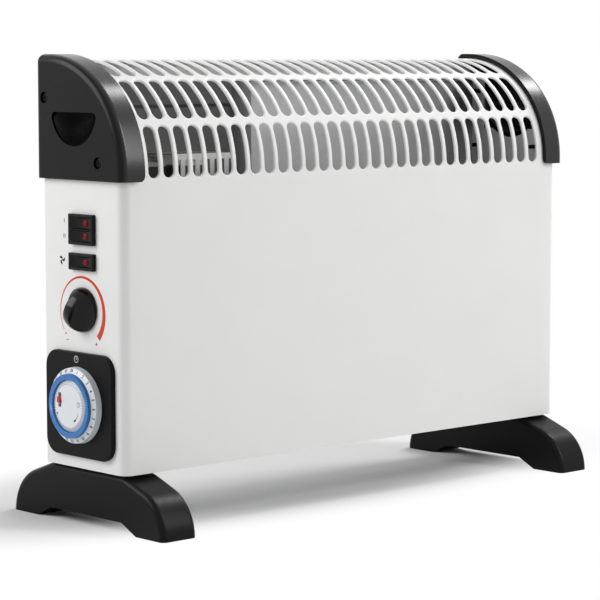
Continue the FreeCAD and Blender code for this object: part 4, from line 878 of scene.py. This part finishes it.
        def edge(y: Array, z: Array) -> Line:
            """Points of the rectangle."""
            shares = [(part - part.min()) / np.ptp(part) for part in (y, z)]
            lows = low[1:] + self.switch_edge
            spans = high[1:] - low[1:] - 2 * self.switch_edge
            return lows[0] + shares[0] * spans[0], lows[1] + shares[1] * spans[1]

        return edge

    def wall_stops(self) -> list[Array]:
        """Steps up the ends: one stretch for each control's share of the wall, then up to the curve."""
        timer_top = node_box("timer_plate")[1][2]
        fan_low, fan_high = (corner[2] for corner in node_box("fan_switch_housing"))
        heat_low, heat_high = (corner[2] for corner in node_box("heat_switch_housing"))
        room = (heat_low - fan_high) / 2
        stops = (self.bottom, timer_top + room, fan_low - room, heat_low - room, heat_high + room)
        spans = [np.linspace(a, b, self.hole_steps + 1) for a, b in zip(stops, stops[1:])]
        curve_z = self.front_centre[1]
        return spans + [np.array([stops[-1], curve_z + self.grille_run()[0], curve_z])]

    def side_steps_y(self) -> Array:
        """Steps along the ends, with a point wherever another patch or the hand recess's notch begins."""
        even = np.linspace(self.front + self.corner, self.rear, self.wall_steps)
        rise = self.notch_drop - self.wall_drop
        half = math.sqrt(self.notch_radius ** 2 - rise ** 2)
        notch = self.notch_y + half * np.cos(np.linspace(math.pi, 0, self.notch_steps))
        edges = [self.rear - self.upright, self.front + self.front_flange]
        return np.unique(np.concatenate([even, notch, edges]))

    def wall_head(self, x: float, y: Array) -> Surface:
        """The end wall from where the front starts to curve up to its top edge.

        The edge is level, and dips along the arc of the hand recess's notch.

        Args:
            x: plane of the wall.
            y: steps along the wall.

        Returns:
            The patch, facing to the right.
        """
        level = np.full_like(y, self.top - self.wall_drop)
        reach = np.clip(self.notch_radius ** 2 - (y - self.notch_y) ** 2, 0, None)
        head = np.minimum(level, self.top - self.notch_drop - np.sqrt(reach))
        share = np.linspace(0, 1, self.head_steps)[:, None]
        z = self.front_centre[1] + share * (head - self.front_centre[1])[None]
        return Surface.grid(np.stack([np.full_like(z, x), np.broadcast_to(y, z.shape), z], axis=-1))

    def corner_bend(self, x: float, outward: float, z: Array) -> list[Surface]:
        """Quarter cylinder between the front and one end, and the quarter disc of the flange under it.

        Args:
            x: X of the bend's axis.
            outward: 1 at the right end, -1 at the left end.
            z: steps up the bend.

        Returns:
            The bend and the disc.
        """
        turn = np.linspace(0, QUARTER, self.bend_steps)
        up, angle = np.meshgrid(z, turn, indexing="ij")
        reach, around = np.meshgrid(np.array([0.0, self.corner]), turn, indexing="ij")
        axis_y = self.front + self.corner
        bend = [x + outward * self.corner * np.sin(angle), axis_y - self.corner * np.cos(angle), up]
        level = np.full_like(reach, self.bottom)
        disc = [x + outward * reach * np.sin(around), axis_y - reach * np.cos(around), level]
        patches = [Surface.grid(np.stack(part, axis=-1)) for part in (bend, disc)]
        return patches if outward > 0 else [patch.flipped() for patch in patches]

    def end(self, x: float, outward: float, y: Array, inner: float) -> list[Surface]:
        """Patches that both ends have: the wall's head, its rear upright and its flanges.

        Args:
            x: plane of the wall.
            outward: 1 at the right end, -1 at the left end.
            y: steps along the wall.
            inner: X where the bottom flange ends.

        Returns:
            The patches.
        """
        z = np.unique(np.concatenate(self.wall_stops()))
        wall_top, upright_top = self.top - self.wall_drop, self.top - self.rear_lip
        upright = self.plane(Axis.X, x, y[y >= self.rear - self.upright], np.array([wall_top, upright_top]))
        patches = [part if outward > 0 else part.flipped() for part in (self.wall_head(x, y), upright)]
        patches += self.corner_bend(x - outward * self.corner, outward, z)
        middle = (self.front_centre[1] + wall_top) / 2
        rear_z = np.concatenate([z, [middle, wall_top, upright_top]])
        rear_x = np.sort([x, x - outward * self.rear_flange])
        patches.append(self.plane(Axis.Y, self.rear, rear_x, rear_z).flipped())
        floor_x = np.sort([x, x - outward * self.corner, inner])
        patches.append(self.plane(Axis.Z, self.bottom, floor_x, y).flipped())
        return patches

    def build(self) -> None:
        """Joins all patches, gives the sheet its thickness and stands it for the CAD casing."""
        grille_x, grille_run = self.grille_x(), self.grille_run()
        y = self.side_steps_y()
        stops = self.wall_stops()
        z = np.unique(np.concatenate(stops))
        front_x = np.concatenate([[self.left + self.corner], grille_x, [self.right - self.corner]])
        arcs_end = self.front_arc + self.top_arc
        bend_start = arcs_end + self.top_flat - self.rear_bend
        bend_end = bend_start + self.rear_bend * QUARTER
        top_run = np.concatenate([
            np.linspace(grille_run[-1], arcs_end, self.top_steps),
            np.linspace(bend_start, bend_end, self.bend_steps), [bend_end + self.rear_lip - self.rear_bend]])
        flat_run = z[:-1] - self.front_centre[1]
        patches = [self.grille(), self.wrapped(front_x, flat_run), self.wrapped(front_x, top_run)]
        patches += [self.wrapped(x, grille_run) for x in (front_x[:2], front_x[-2:])]
        holes = (
            self.round_hole("timer_dial", self.timer_hole),
            self.round_hole("thermostat_nut", self.shaft_hole),
            self.square_hole("fan_switch_housing"), self.square_hole("heat_switch_housing"))
        patches += [self.holed(y, span, hole) for span, hole in zip(stops, holes)]
        patches.append(self.plane(Axis.X, self.left, y, stops[-1]).flipped())
        patches.append(self.plane(Axis.X, self.right, y, z))
        inner_x = grille_x[np.abs(grille_x - self.centre_x) < (self.right - self.left) / 2 - self.side_flange]
        patches += self.end(self.left, -1.0, y, inner_x[0]) + self.end(self.right, 1.0, y, inner_x[-1])
        lips = ((front_x, self.front, self.front + self.corner),
                (inner_x, self.front + self.corner, self.front + self.front_flange))
        patches += [self.plane(Axis.Z, self.bottom, x, np.array(span)).flipped() for x, *span in lips]
        Surface.joined(patches).welded().piece(
            "casing_sheet", FINISHES.powder_coat, Body.HEATER, "white_painted_steel", thickness=self.sheet,
            replaces=("front_casing",))


# Prints on the control end


@dataclass(frozen=True)
class EndFace:
    """Flat face towards the control end, seen with the heater's front on the right."""

    x: float
    y: float
    z: float

    @staticmethod
    def of(node: str) -> EndFace:
        """The outermost plane of a CAD node, with its origin at the node's middle."""
        low, high = node_box(node)
        return EndFace(low[0], (low[1] + high[1]) / 2, (low[2] + high[2]) / 2)

    def moved(self, right: float, up: float) -> EndFace:
        """The same plane with its origin moved."""
        return EndFace(self.x, self.y - right, self.z + up)

    def at(self, right: Array, up: Array, out: Array | float = 0.0) -> Array:
        """Points from distances to the right, upwards and outwards of the origin."""
        right, up, out = np.broadcast_arrays(right, up, out)
        return np.stack([self.x - out, self.y - right, self.z + up], axis=-1)

    def polar(self, radius: Array, degrees: Array, out: Array | float = 0.0) -> Array:
        """Points from a radius and an angle, which is counted from the right towards the top."""
        angle = np.radians(degrees)
        return self.at(radius * np.cos(angle), radius * np.sin(angle), out)


@dataclass
class Prints:
    """Thin printed marks, each a closed slab that lies on a face.

    A blade's start and half width and the hands' lengths are shares of their sign's radius, and the boldness
    is a share of the type's size.
    """

    sink: float = 0.05
    proud: float = 0.06
    blade_start: float = 0.12
    blade_half: float = 0.34
    blade_skew: float = 1.6
    blade_bulge: float = 0.8
    blade_least: float = 0.02
    blade_steps: int = 15
    long_hand: float = 0.62
    short_hand: float = 0.45
    boldness: float = 0.03
    letter_steps: int = 3

    def band(self, face: EndFace, inner: Line, outer: Line, closed: bool = False) -> Surface:
        """Slab between two lines: its section is a flat rectangle carried along both.

        Args:
            face: where it lies.
            inner: right and up of the first line's points.
            outer: right and up of the second line's points.
            closed: whether the lines close on themselves.

        Returns:
            The slab.
        """
        levels = ((inner, -self.sink), (inner, self.proud), (outer, self.proud), (outer, -self.sink))
        corners = [face.at(*line, out) for line, out in levels]
        return Surface.beam(np.stack(corners, axis=1), closed)

    def bow(self, face: EndFace, radius: float, angle: Array, width: Array | float,
            closed: bool = False) -> Surface:
        """Slab along a circle round the face's origin.

        Args:
            face: where it lies.
            radius: radius of its middle line.
            angle: angles of its points, in radians.
            width: its width, at each point or all along.
            closed: whether it is a whole ring.

        Returns:
            The slab.
        """
        reaches = (radius - width / 2, radius + width / 2)
        lines = [(reach * np.cos(angle), reach * np.sin(angle)) for reach in reaches]
        return self.band(face, *lines, closed)

    def arc(self, face: EndFace, radius: float, ends: Spot, widths: Sequence[float], steps: int) -> Surface:
        """Slab along an arc, whose width runs evenly through given values.

        Args:
            face: where it lies.
            radius: radius of the arc's middle line.
            ends: first and last angle in degrees.
            widths: widths at even steps along the arc.
            steps: how many points along it.

        Returns:
            The slab.
        """
        width = np.interp(np.linspace(0, 1, steps), np.linspace(0, 1, len(widths)), widths)
        return self.bow(face, radius, np.radians(np.linspace(*ends, steps)), width)

    def ring(self, face: EndFace, radius: float, width: float, steps: int = 48) -> Surface:
        """Closed ring of a constant width round the face's origin."""
        return self.bow(face, radius, np.arange(steps) * (2 * math.pi / steps), width, closed=True)

    def stroke(self, face: EndFace, start: Spot, end: Spot, width: float) -> Surface:
        """Straight bar between two points given as right and up.

        Args:
            face: where it lies.
            start: first end.
            end: other end.
            width: width of the bar.

        Returns:
            The bar.
        """
        ends = np.array([start, end], float)
        way = (ends[1] - ends[0]) / np.linalg.norm(ends[1] - ends[0])
        side = np.array([-way[1], way[0]]) * width / 2
        return self.band(face, tuple((ends - side).T), tuple((ends + side).T))

    def upright(self, face: EndFace, half: float, width: float) -> Surface:
        """Upright bar through the face's origin."""
        return self.stroke(face, (0, -half), (0, half), width)

    def dot(self, face: EndFace, radius: float, steps: int = 24) -> Surface:
        """Round spot: a rectangle turned about the face's origin."""
        turn = np.linspace(0, 360, steps, endpoint=False)
        profile = ((0.0, -self.sink), (radius, -self.sink), (radius, self.proud), (0.0, self.proud))
        rows = [face.polar(np.full(steps, reach), turn, out) for reach, out in profile]
        return Surface.grid(np.stack(rows), wrap=True).welded().outward()

    def ticks(self, face: EndFace, span: Spot, width: float, degrees: Array, drop: float = 0.0) -> Surface:
        """Short radial bars at many angles, on a flat face or on a cone.

        Args:
            face: where they lie.
            span: radii where they start and end.
            width: their width.
            degrees: their angles.
            drop: how much lower than the face their outer ends lie.

        Returns:
            All bars as one surface.
        """
        turn = np.radians(degrees)[:, None]
        far = np.array([0, 1, 1, 0] * 2)[None]
        along = span[0] + far * (span[1] - span[0])
        across = np.array([-1, -1, 1, 1] * 2)[None] * width / 2
        out = np.array([-self.sink] * 4 + [self.proud] * 4)[None] - far * drop
        right = along * np.cos(turn) - across * np.sin(turn)
        up = along * np.sin(turn) + across * np.cos(turn)
        return Surface.boxes(face.at(right, up, out))

    def blades(self, face: EndFace, radius: float, count: int, swirl: float) -> Surface:
        """Fan sign: drop-shaped blades whose middle lines bend as they run outwards.

        A blade's half width follows a power of the sine of a skewed share of its reach.

        Args:
            face: where the sign lies.
            radius: reach of the blades.
            count: how many blades.
            swirl: bend of each blade in degrees.

        Returns:
            The sign.
        """
        share = np.linspace(self.blade_start, 1.0, self.blade_steps)
        swell = np.sin(math.pi * share ** self.blade_skew) ** self.blade_bulge
        half = radius * self.blade_half * swell + self.blade_least
        parts = []
        for first in np.arange(count) * (360 / count) + 90:
            angle = np.radians(first + swirl * share)
            middle = radius * share * np.stack([np.cos(angle), np.sin(angle)])
            side = half * np.stack([-np.sin(angle), np.cos(angle)])
            parts.append(self.band(face, tuple(middle - side), tuple(middle + side)))
        return Surface.joined(parts)

    def clock(self, face: EndFace, radius: float, width: float) -> Surface:
        """Clock sign: a ring and two hands."""
        tips = ((0, radius * self.long_hand), (radius * self.short_hand, 0))
        hands = [self.stroke(face, (0, 0), tip, width) for tip in tips]
        return Surface.joined([self.ring(face, radius, width)] + hands)

    def lettering(self, text: str, size: float, thick: float) -> Surface:
        """Letters as a closed slab round the origin, with right, up and out along X, Y and Z.

        Args:
            text: the characters.
            size: size of the type.
            thick: thickness of the slab.

        Returns:
            The letters.
        """
        curve = bpy.data.curves.new("letters", "FONT")
        curve.body = text
        curve.size = size
        curve.extrude = thick / 2
        curve.offset = size * self.boldness
        curve.align_x = "CENTER"
        curve.align_y = "CENTER"
        curve.resolution_u = self.letter_steps
        item = placed("letters", curve)
        mesh = bpy.data.meshes.new_from_object(item.evaluated_get(bpy.context.evaluated_depsgraph_get()))
        mesh.calc_loop_triangles()
        points = np.empty(len(mesh.vertices) * 3)
        mesh.vertices.foreach_get("co", points)
        triangles = np.empty(len(mesh.loop_triangles) * 3, dtype=np.int64)
        mesh.loop_triangles.foreach_get("vertices", triangles)
        bpy.data.objects.remove(item)
        bpy.data.curves.remove(curve)
        bpy.data.meshes.remove(mesh)
        return Surface(points.reshape(-1, 3), [triangles.reshape(-1, 3)]).welded()


# The other sub-assemblies


@dataclass
class Assembly:
    """A sub-assembly, with the frame's objects by name."""

    nodes: dict[str, bpy.types.Object]

    def put(self, finish: Finish, *names: str) -> None:
        """Gives CAD nodes a finish.

        Args:
            finish: the finish.
            names: the nodes that get it.
        """
        for name in names:
            self.nodes[name].data.materials.clear()
            self.nodes[name].data.materials.append(finish.material())
            LOG.info("%s: %s", name, finish.name)

    def dress(self) -> None:
        """Gives the sub-assembly's CAD nodes their finishes."""

    def build(self) -> None:
        """Makes the pieces that the sub-assembly adds, if it has any."""


@dataclass
class Switches(Assembly):
    """Double heat switch and single fan switch, with the marks beside them."""

    mark_y: float = 21.2
    mark_step: float = 6.3
    mark_height: float = 3.4
    mark_width: float = 0.7
    bar_gap: float = 1.8
    sign_y: float = 24.5
    sign_radius: float = 4.0
    sign_blades: int = 3
    sign_swirl: float = 55.0
    sign_hub: float = 0.7

    def dress(self) -> None:
        """Gives the housings, rockers and lenses their finishes."""
        self.put(FINISHES.control, "heat_switch_housing", "fan_switch_housing", "heat_rocker_upper",
                 "heat_rocker_lower", "fan_rocker")
        self.put(FINISHES.lens, "heat_lens_upper", "heat_lens_lower", "fan_rocker_lens")
        self.put(FINISHES.brass, "switch_terminals")

    def build(self) -> None:
        """Prints the one-bar and two-bar marks and the fan sign on the wall."""
        prints = Prints()
        wall = EndFace.of("front_casing")
        middle = EndFace(wall.x, self.mark_y, EndFace.of("heat_switch_housing").z)
        aside, half = self.bar_gap / 2, self.mark_height / 2
        places = ((0.0, self.mark_step), (-aside, -self.mark_step), (aside, -self.mark_step))
        bars = [prints.upright(middle.moved(*place), half, self.mark_width) for place in places]
        Surface.joined(bars).piece("heat_marks", FINISHES.dark_ink, Body.HEATER, "black_control")
        hub = EndFace(wall.x, self.sign_y, EndFace.of("fan_switch_housing").z)
        blades = prints.blades(hub, self.sign_radius, self.sign_blades, self.sign_swirl)
        sign = Surface.joined([blades, prints.dot(hub, self.sign_hub)])
        sign.piece("fan_sign", FINISHES.dark_ink, Body.HEATER, "black_control")


@dataclass
class Thermostat(Assembly):
    """Knob with its spindle and the arc printed round it."""

    arc_y: float = -1.6
    arc_z: float = 177.0
    arc_radius: float = 28.9
    arc_ends: Spot = (213.0, -43.0)
    arc_widths: tuple[float, ...] = (0.5, 1.0, 1.7, 2.5, 3.8, 5.2)
    arc_steps: int = 96
    dot_angle: float = 220.5
    dot_radius: float = 0.9
    sign_half: float = 1.5
    sign_width: float = 0.7
    minus_place: Spot = (-19.6, -24.0)
    plus_place: Spot = (18.6, -24.6)

    def dress(self) -> None:
        """Gives the knob and what is behind it their finishes."""
        self.put(FINISHES.knob, "thermostat_knob")
        self.put(FINISHES.zinc, "thermostat_shaft", "thermostat_nut")
        self.put(FINISHES.thermoset, "thermostat_body")

    def build(self) -> None:
        """Prints the arc, which widens from a dot at the cool end, and a minus and a plus sign."""
        prints = Prints()
        face = EndFace(EndFace.of("front_casing").x, self.arc_y, self.arc_z)
        turn = math.radians(self.dot_angle)
        start = face.moved(self.arc_radius * math.cos(turn), self.arc_radius * math.sin(turn))
        minus, plus = face.moved(*self.minus_place), face.moved(*self.plus_place)
        level = ((-self.sign_half, 0), (self.sign_half, 0))
        marks = [
            prints.arc(face, self.arc_radius, self.arc_ends, self.arc_widths, self.arc_steps),
            prints.dot(start, self.dot_radius),
            prints.stroke(minus, *level, self.sign_width),
            prints.stroke(plus, *level, self.sign_width),
            prints.upright(plus, self.sign_half, self.sign_width),
        ]
        Surface.joined(marks).piece("heat_arc", FINISHES.red_ink, Body.HEATER, "red_lens")


@dataclass
class Timer(Assembly):
    """Timer plate, dial, tappets, centre disc and selector, with their prints.

    Places of marks are to the right of and above the middle of the disc or plate that they lie on.
    """

    crest_radius: float = 27.02
    slope_radius: float = 31.0
    slope_drop: float = 1.9
    number_size: float = 3.3
    number_thick: float = 0.12
    hours: int = 24
    tappets: int = 96
    tappet_groups: int = 8
    disc_radius: float = 18.2
    disc_flare: float = 3.2
    disc_edge: float = 1.6
    tick_width: float = 0.3
    tick_inset: float = 0.25
    dash_width: float = 1.1
    dash_insets: Spot = (0.5, 0.1)
    dash_step_deg: float = 7.5
    dot_place: Spot = (-15.0, -7.2)
    dot_radius: float = 0.75
    clock_place: Spot = (13.0, 2.5)
    clock_radius: float = 1.9
    clock_width: float = 0.32
    arrow_radius: float = 13.8
    arrow_ends: Spot = (-20.0, -62.0)
    arrow_widths: tuple[float, ...] = (0.3, 0.35, 0.4, 0.45, 1.9, 0.05)
    arrow_steps: int = 48
    on_place: Spot = (-8.8, 8.0)
    on_half: float = 0.8
    on_width: float = 0.35
    off_place: Spot = (-9.6, 3.1)
    off_radius: float = 0.75
    off_width: float = 0.3
    off_steps: int = 24
    slot_half: Spot = (1.8, 6.0)
    # Size of the dark tray that paints the shade under the selector's slot
    pocket_wall: float = 0.6
    pocket_depth: float = 1.9
    pocket_sink: float = 0.02
    sign_place: Spot = (-2.4, 37.6)
    sign_radius: float = 2.6
    sign_width: float = 0.5

    def dress(self) -> None:
        """Gives the timer's solids their finishes."""
        self.put(FINISHES.plate, "timer_plate")
        self.put(FINISHES.white_moulding, "timer_dial", "timer_centre_disc")
        self.put(FINISHES.slide, "timer_selector")
        self.put(FINISHES.thermoset, "timer_body")
        self.put(FINISHES.bright_sheet, "timer_motor")
        groups = range(1, self.tappet_groups + 1)
        self.put(FINISHES.blue_moulding, *[f"timer_tappets_{group:02d}" for group in groups])

    def numbers(self, prints: Prints) -> Surface:
        """Hours round the dial: flat letters laid on its sloping ring, tops outwards.

        A letter's up becomes the radius, its right becomes the way round, and its out is added to the ring's
        height.

        Args:
            prints: what makes the letters.

        Returns:
            All numbers.
        """
        face = EndFace.of("timer_dial")
        middle = (self.crest_radius + self.slope_radius) / 2
        slope = self.slope_drop / (self.slope_radius - self.crest_radius)
        parts = []
        for hour in range(1, self.hours + 1):
            flat = prints.lettering(str(hour), self.number_size, self.number_thick)
            radius = middle + flat.points[:, 1]
            degrees = 90 - hour * 360 / self.hours - np.degrees(flat.points[:, 0] / middle)
            height = flat.points[:, 2] - (radius - self.crest_radius) * slope
            parts.append(Surface(face.polar(radius, degrees, height), flat.faces).outward())
        return Surface.joined(parts)

    def pocket(self) -> Surface:
        """Dark tray under the selector's slot, painted shade for the shadowed well below it: rectangles from
        its outside round the rim to its floor.

        Returns:
            The closed tray.
        """
        disc, slide = EndFace.of("timer_centre_disc"), EndFace.of("timer_selector")
        face = EndFace(disc.x + self.disc_edge, slide.y, slide.z)
        outer = [half + 2 * self.pocket_wall for half in self.slot_half]
        inner = [half - self.pocket_wall for half in outer]
        rim, floor, under = -self.pocket_sink, -self.pocket_depth, -self.pocket_depth - self.pocket_wall
        rings = ((0.0, 0.0, under), (*outer, under), (*outer, rim), (*inner, rim), (*inner, floor),
                 (0.0, 0.0, floor))
        right, up = np.array([-1, 1, 1, -1]), np.array([-1, -1, 1, 1])
        rows = [face.at(right * wide, up * tall, out) for wide, tall, out in rings]
        return Surface.grid(np.stack(rows), wrap=True).welded().outward()

    def flare_ticks(self, prints: Prints, disc: EndFace) -> Surface:
        """Tick marks between the tappets, on the cone round the centre disc.

        Args:
            prints: what makes the marks.
            disc: the disc's face.

        Returns:
            The marks.
        """
        turns = (np.arange(self.tappets) + 0.5) * 360 / self.tappets
        span = (self.disc_radius + self.tick_inset, self.disc_radius + self.disc_flare - self.tick_inset)
        drop = self.disc_edge * (span[1] - span[0]) / self.disc_flare
        start = EndFace(disc.x + self.disc_edge * self.tick_inset / self.disc_flare, disc.y, disc.z)
        return prints.ticks(start, span, self.tick_width, turns, drop)

    def disc_marks(self, prints: Prints, disc: EndFace) -> Surface:
        """Signs on the flat of the centre disc and dashes along its edge.

        Args:
            prints: what makes the marks.
            disc: the disc's face.

        Returns:
            The marks.
        """
        rim = tuple(self.disc_radius - inset for inset in self.dash_insets)
        return Surface.joined([
            prints.ticks(disc, rim, self.dash_width, np.arange(0, 360, self.dash_step_deg)),
            prints.dot(disc.moved(*self.dot_place), self.dot_radius),
            prints.clock(disc.moved(*self.clock_place), self.clock_radius, self.clock_width),
            prints.arc(disc, self.arrow_radius, self.arrow_ends, self.arrow_widths, self.arrow_steps),
            prints.upright(disc.moved(*self.on_place), self.on_half, self.on_width),
            prints.ring(disc.moved(*self.off_place), self.off_radius, self.off_width, self.off_steps),
        ])

    def build(self) -> None:
        """Makes the numbers, the tick marks, the signs and the dark tray under the selector that paints its
        shade.
        """
        prints = Prints()
        disc = EndFace.of("timer_centre_disc")
        plate = EndFace.of("timer_plate").moved(*self.sign_place)
        self.numbers(prints).piece("dial_numbers", FINISHES.dark_ink, Body.DIAL, "black_control")
        self.flare_ticks(prints, disc).piece("disc_ticks", FINISHES.grey_ink, Body.HEATER, "black_control")
        self.disc_marks(prints, disc).piece("disc_marks", FINISHES.dark_ink, Body.HEATER, "black_control")
        # Painted shade: a dark tray where the slot's well would only be in shadow
        self.pocket().piece("selector_pocket", FINISHES.control, Body.HEATER, "black_control")
        sign = prints.clock(plate, self.sign_radius, self.sign_width)
        sign.piece("plate_sign", FINISHES.white_ink, Body.HEATER, "white_moulding")


@dataclass
class Plastics(Assembly):
    """End caps and feet."""

    def dress(self) -> None:
        """Gives the black mouldings and their screws their finishes."""
        self.put(FINISHES.moulding, "left_end_cap", "right_end_cap")
        self.put(FINISHES.foot_moulding, "left_foot", "right_foot")
        # The screws' near-black is partly their own black and partly painted shade of their recesses
        self.put(FINISHES.black_screw, "end_cap_screws")
        self.put(FINISHES.zinc, "foot_screws")


@dataclass
class Inside(Assembly):
    """Back panel, base plate and everything in the casing."""

    edge_reach: float = 9.0
    edge_sheet: float = 0.6
    edge_gap: float = 0.3

    def dress(self) -> None:
        """Gives the sheets, elements, fan and small parts their finishes."""
        self.put(FINISHES.panel_coat, "back_panel")
        self.put(FINISHES.bright_sheet, "base_plate", "control_partition", "left_element_bracket",
                 "right_element_bracket", "fan_motor_bridges")
        self.put(FINISHES.satin_sheet, "heat_shield")
        self.put(FINISHES.board, "front_element_board", "rear_element_board")
        self.put(FINISHES.ribbon, "front_element_ribbon", "rear_element_ribbon")
        self.put(FINISHES.zinc, "back_panel_screws", "inner_screws", "fan_shaft", "fan_guard")
        self.put(FINISHES.laminations, "fan_motor_core")
        self.put(FINISHES.winding, "fan_motor_coil")
        self.put(FINISHES.thermoset, "fan_impeller", "thermal_cutout")
        self.put(FINISHES.white_moulding, "terminal_block")
        self.put(FINISHES.moulding, "cord_gland", "gland_nut")

    def build(self) -> None:
        """Bends the heat shield's left edge back to the panel: a slanted strip of even thickness."""
        low, high = node_box("heat_shield")
        x = low[0] - np.array([0.0, self.edge_reach, self.edge_reach, 0.0])
        back = high[1] - self.edge_gap
        y = np.array([low[1], back - self.edge_sheet, back, low[1] + self.edge_sheet])
        ends = [np.stack([x, y, np.full_like(x, z)], axis=-1) for z in (low[2], high[2])]
        strip = Surface.boxes(np.concatenate(ends)[None])
        strip.piece("shield_edge", FINISHES.satin_sheet, Body.HEATER, "bright_sheet")


# Stage


@dataclass(frozen=True)
class Lamp:
    """A soft light: where it hangs, its level width and its height, and its watts."""

    name: str
    place_m: tuple[float, float, float]
    size_m: Spot
    power: float

    def build(self, aim_m: Sequence[float]) -> None:
        """Hangs the lamp so that it faces a point.

        Args:
            aim_m: the point.
        """
        data = bpy.data.lights.new(self.name, "AREA")
        data.shape = "RECTANGLE"
        data.size, data.size_y = self.size_m
        data.energy = self.power
        item = placed(self.name, data)
        item.location = self.place_m
        item.rotation_euler = (Vector(aim_m) - Vector(self.place_m)).to_track_quat("-Z", "Y").to_euler()


@dataclass
class Studio:
    """Camera, floor and soft light."""

    camera_m: tuple[float, float, float] = (-1.4517, -1.5695, 0.3868)
    yaw_deg: float = 42.58
    pitch_deg: float = -5.797
    lens: float = 145.45
    sensor: float = 36.0
    sight_m: float = 50.0
    aim_m: tuple[float, float, float] = (0.0, 0.0, 0.2)
    floor_half_m: float = 8.0
    floor_tone: float = 0.76
    floor_roughness: float = 0.8
    fade_m: Spot = (0.10, 0.20)
    fade_back_m: float = 0.08
    fade_squeeze: float = 0.4
    surround: float = 0.32
    lamps: tuple[Lamp, ...] = (
        Lamp("top_box", (1.17, -0.05, 1.6), (0.28, 0.9), 14.0),
        Lamp("front_box", (0.8, -1.6, 1.15), (0.45, 1.2), 19.0),
        Lamp("left_box", (-1.3, 0.7, 1.0), (1.0, 1.0), 16.0),
    )

    def camera(self) -> None:
        """Places the camera as the photo was taken."""
        data = bpy.data.cameras.new("camera")
        data.sensor_width = self.sensor
        data.lens = self.lens
        data.clip_end = self.sight_m
        item = placed("camera", data)
        item.location = self.camera_m
        item.rotation_euler = Euler((math.radians(90 + self.pitch_deg), 0, math.radians(-self.yaw_deg)))
        bpy.context.scene.camera = item

    def floor_material(self) -> bpy.types.Material:
        """Pale matt floor that takes the shadow near the heater and is seen as plain white further out.

        Returns:
            The material.
        """
        material = bpy.data.materials.new("studio_floor")
        material.use_nodes = True
        tree = material.node_tree
        nodes = Nodes(tree)
        matt = tree.nodes["Principled BSDF"]
        nodes.feed(matt, {
            "Base Color": (self.floor_tone, self.floor_tone, self.floor_tone, 1.0),
            "Roughness": self.floor_roughness,
            "Specular IOR Level": 0.0,
        })
        squeeze = nodes.add("Mapping", {
            "Vector": nodes.add("TexCoord", {}).outputs["Object"],
            "Location": (0.0, -self.fade_back_m, 0.0),
            "Scale": (self.fade_squeeze, 1.0, 1.0),
        })
        reach = nodes.add("VectorMath", {0: squeeze.outputs["Vector"]}, operation="LENGTH")
        run = {"Value": reach.outputs["Value"], "From Min": self.fade_m[0], "From Max": self.fade_m[1]}
        fade = nodes.add("MapRange", run, interpolation_type="SMOOTHSTEP")
        share = nodes.computed("MULTIPLY", fade.outputs["Result"], nodes.seen())
        white = nodes.add("Emission", {}).outputs["Emission"]
        mix = nodes.add("MixShader", {"Fac": share, 1: matt.outputs["BSDF"], 2: white})
        nodes.feed(tree.nodes["Material Output"], {"Surface": mix.outputs["Shader"]})
        return material

    def floor(self) -> None:
        """A wide square floor under the heater."""
        signs = np.array([[-1, -1, 0], [1, -1, 0], [1, 1, 0], [-1, 1, 0]], float)
        mesh = bpy.data.meshes.new("floor")
        mesh.from_pydata((signs * self.floor_half_m).tolist(), [], [[0, 1, 2, 3]])
        mesh.materials.append(self.floor_material())
        floor = placed("floor", mesh)

    def world(self) -> None:
        """Even surround: white to the camera, softer as light."""
        world = bpy.data.worlds.new("studio")
        bpy.context.scene.world = world
        world.use_nodes = True
        nodes = Nodes(world.node_tree)
        strength = nodes.ranged(nodes.seen(), (0.0, 1.0), self.surround)
        white = (1.0, 1.0, 1.0, 1.0)
        nodes.feed(world.node_tree.nodes["Background"], {"Color": white, "Strength": strength})

    def build(self) -> None:
        """Sets up everything round the heater."""
        self.camera()
        self.floor()
        self.world()
        for lamp in self.lamps:
            lamp.build(self.aim_m)
        bpy.context.scene.view_settings.view_transform = "Standard"


def main() -> None:
    """Builds the heater's pieces and the studio, in order."""
    logging.basicConfig(level=logging.INFO, format="%(name)s %(message)s")
    Casing().build()
    for kind in (Plastics, Inside, Switches, Thermostat, Timer):
        assembly = kind(frame["nodes"])
        assembly.dress()
        assembly.build()
    Studio().build()


if __name__ == "__main__":
    main()
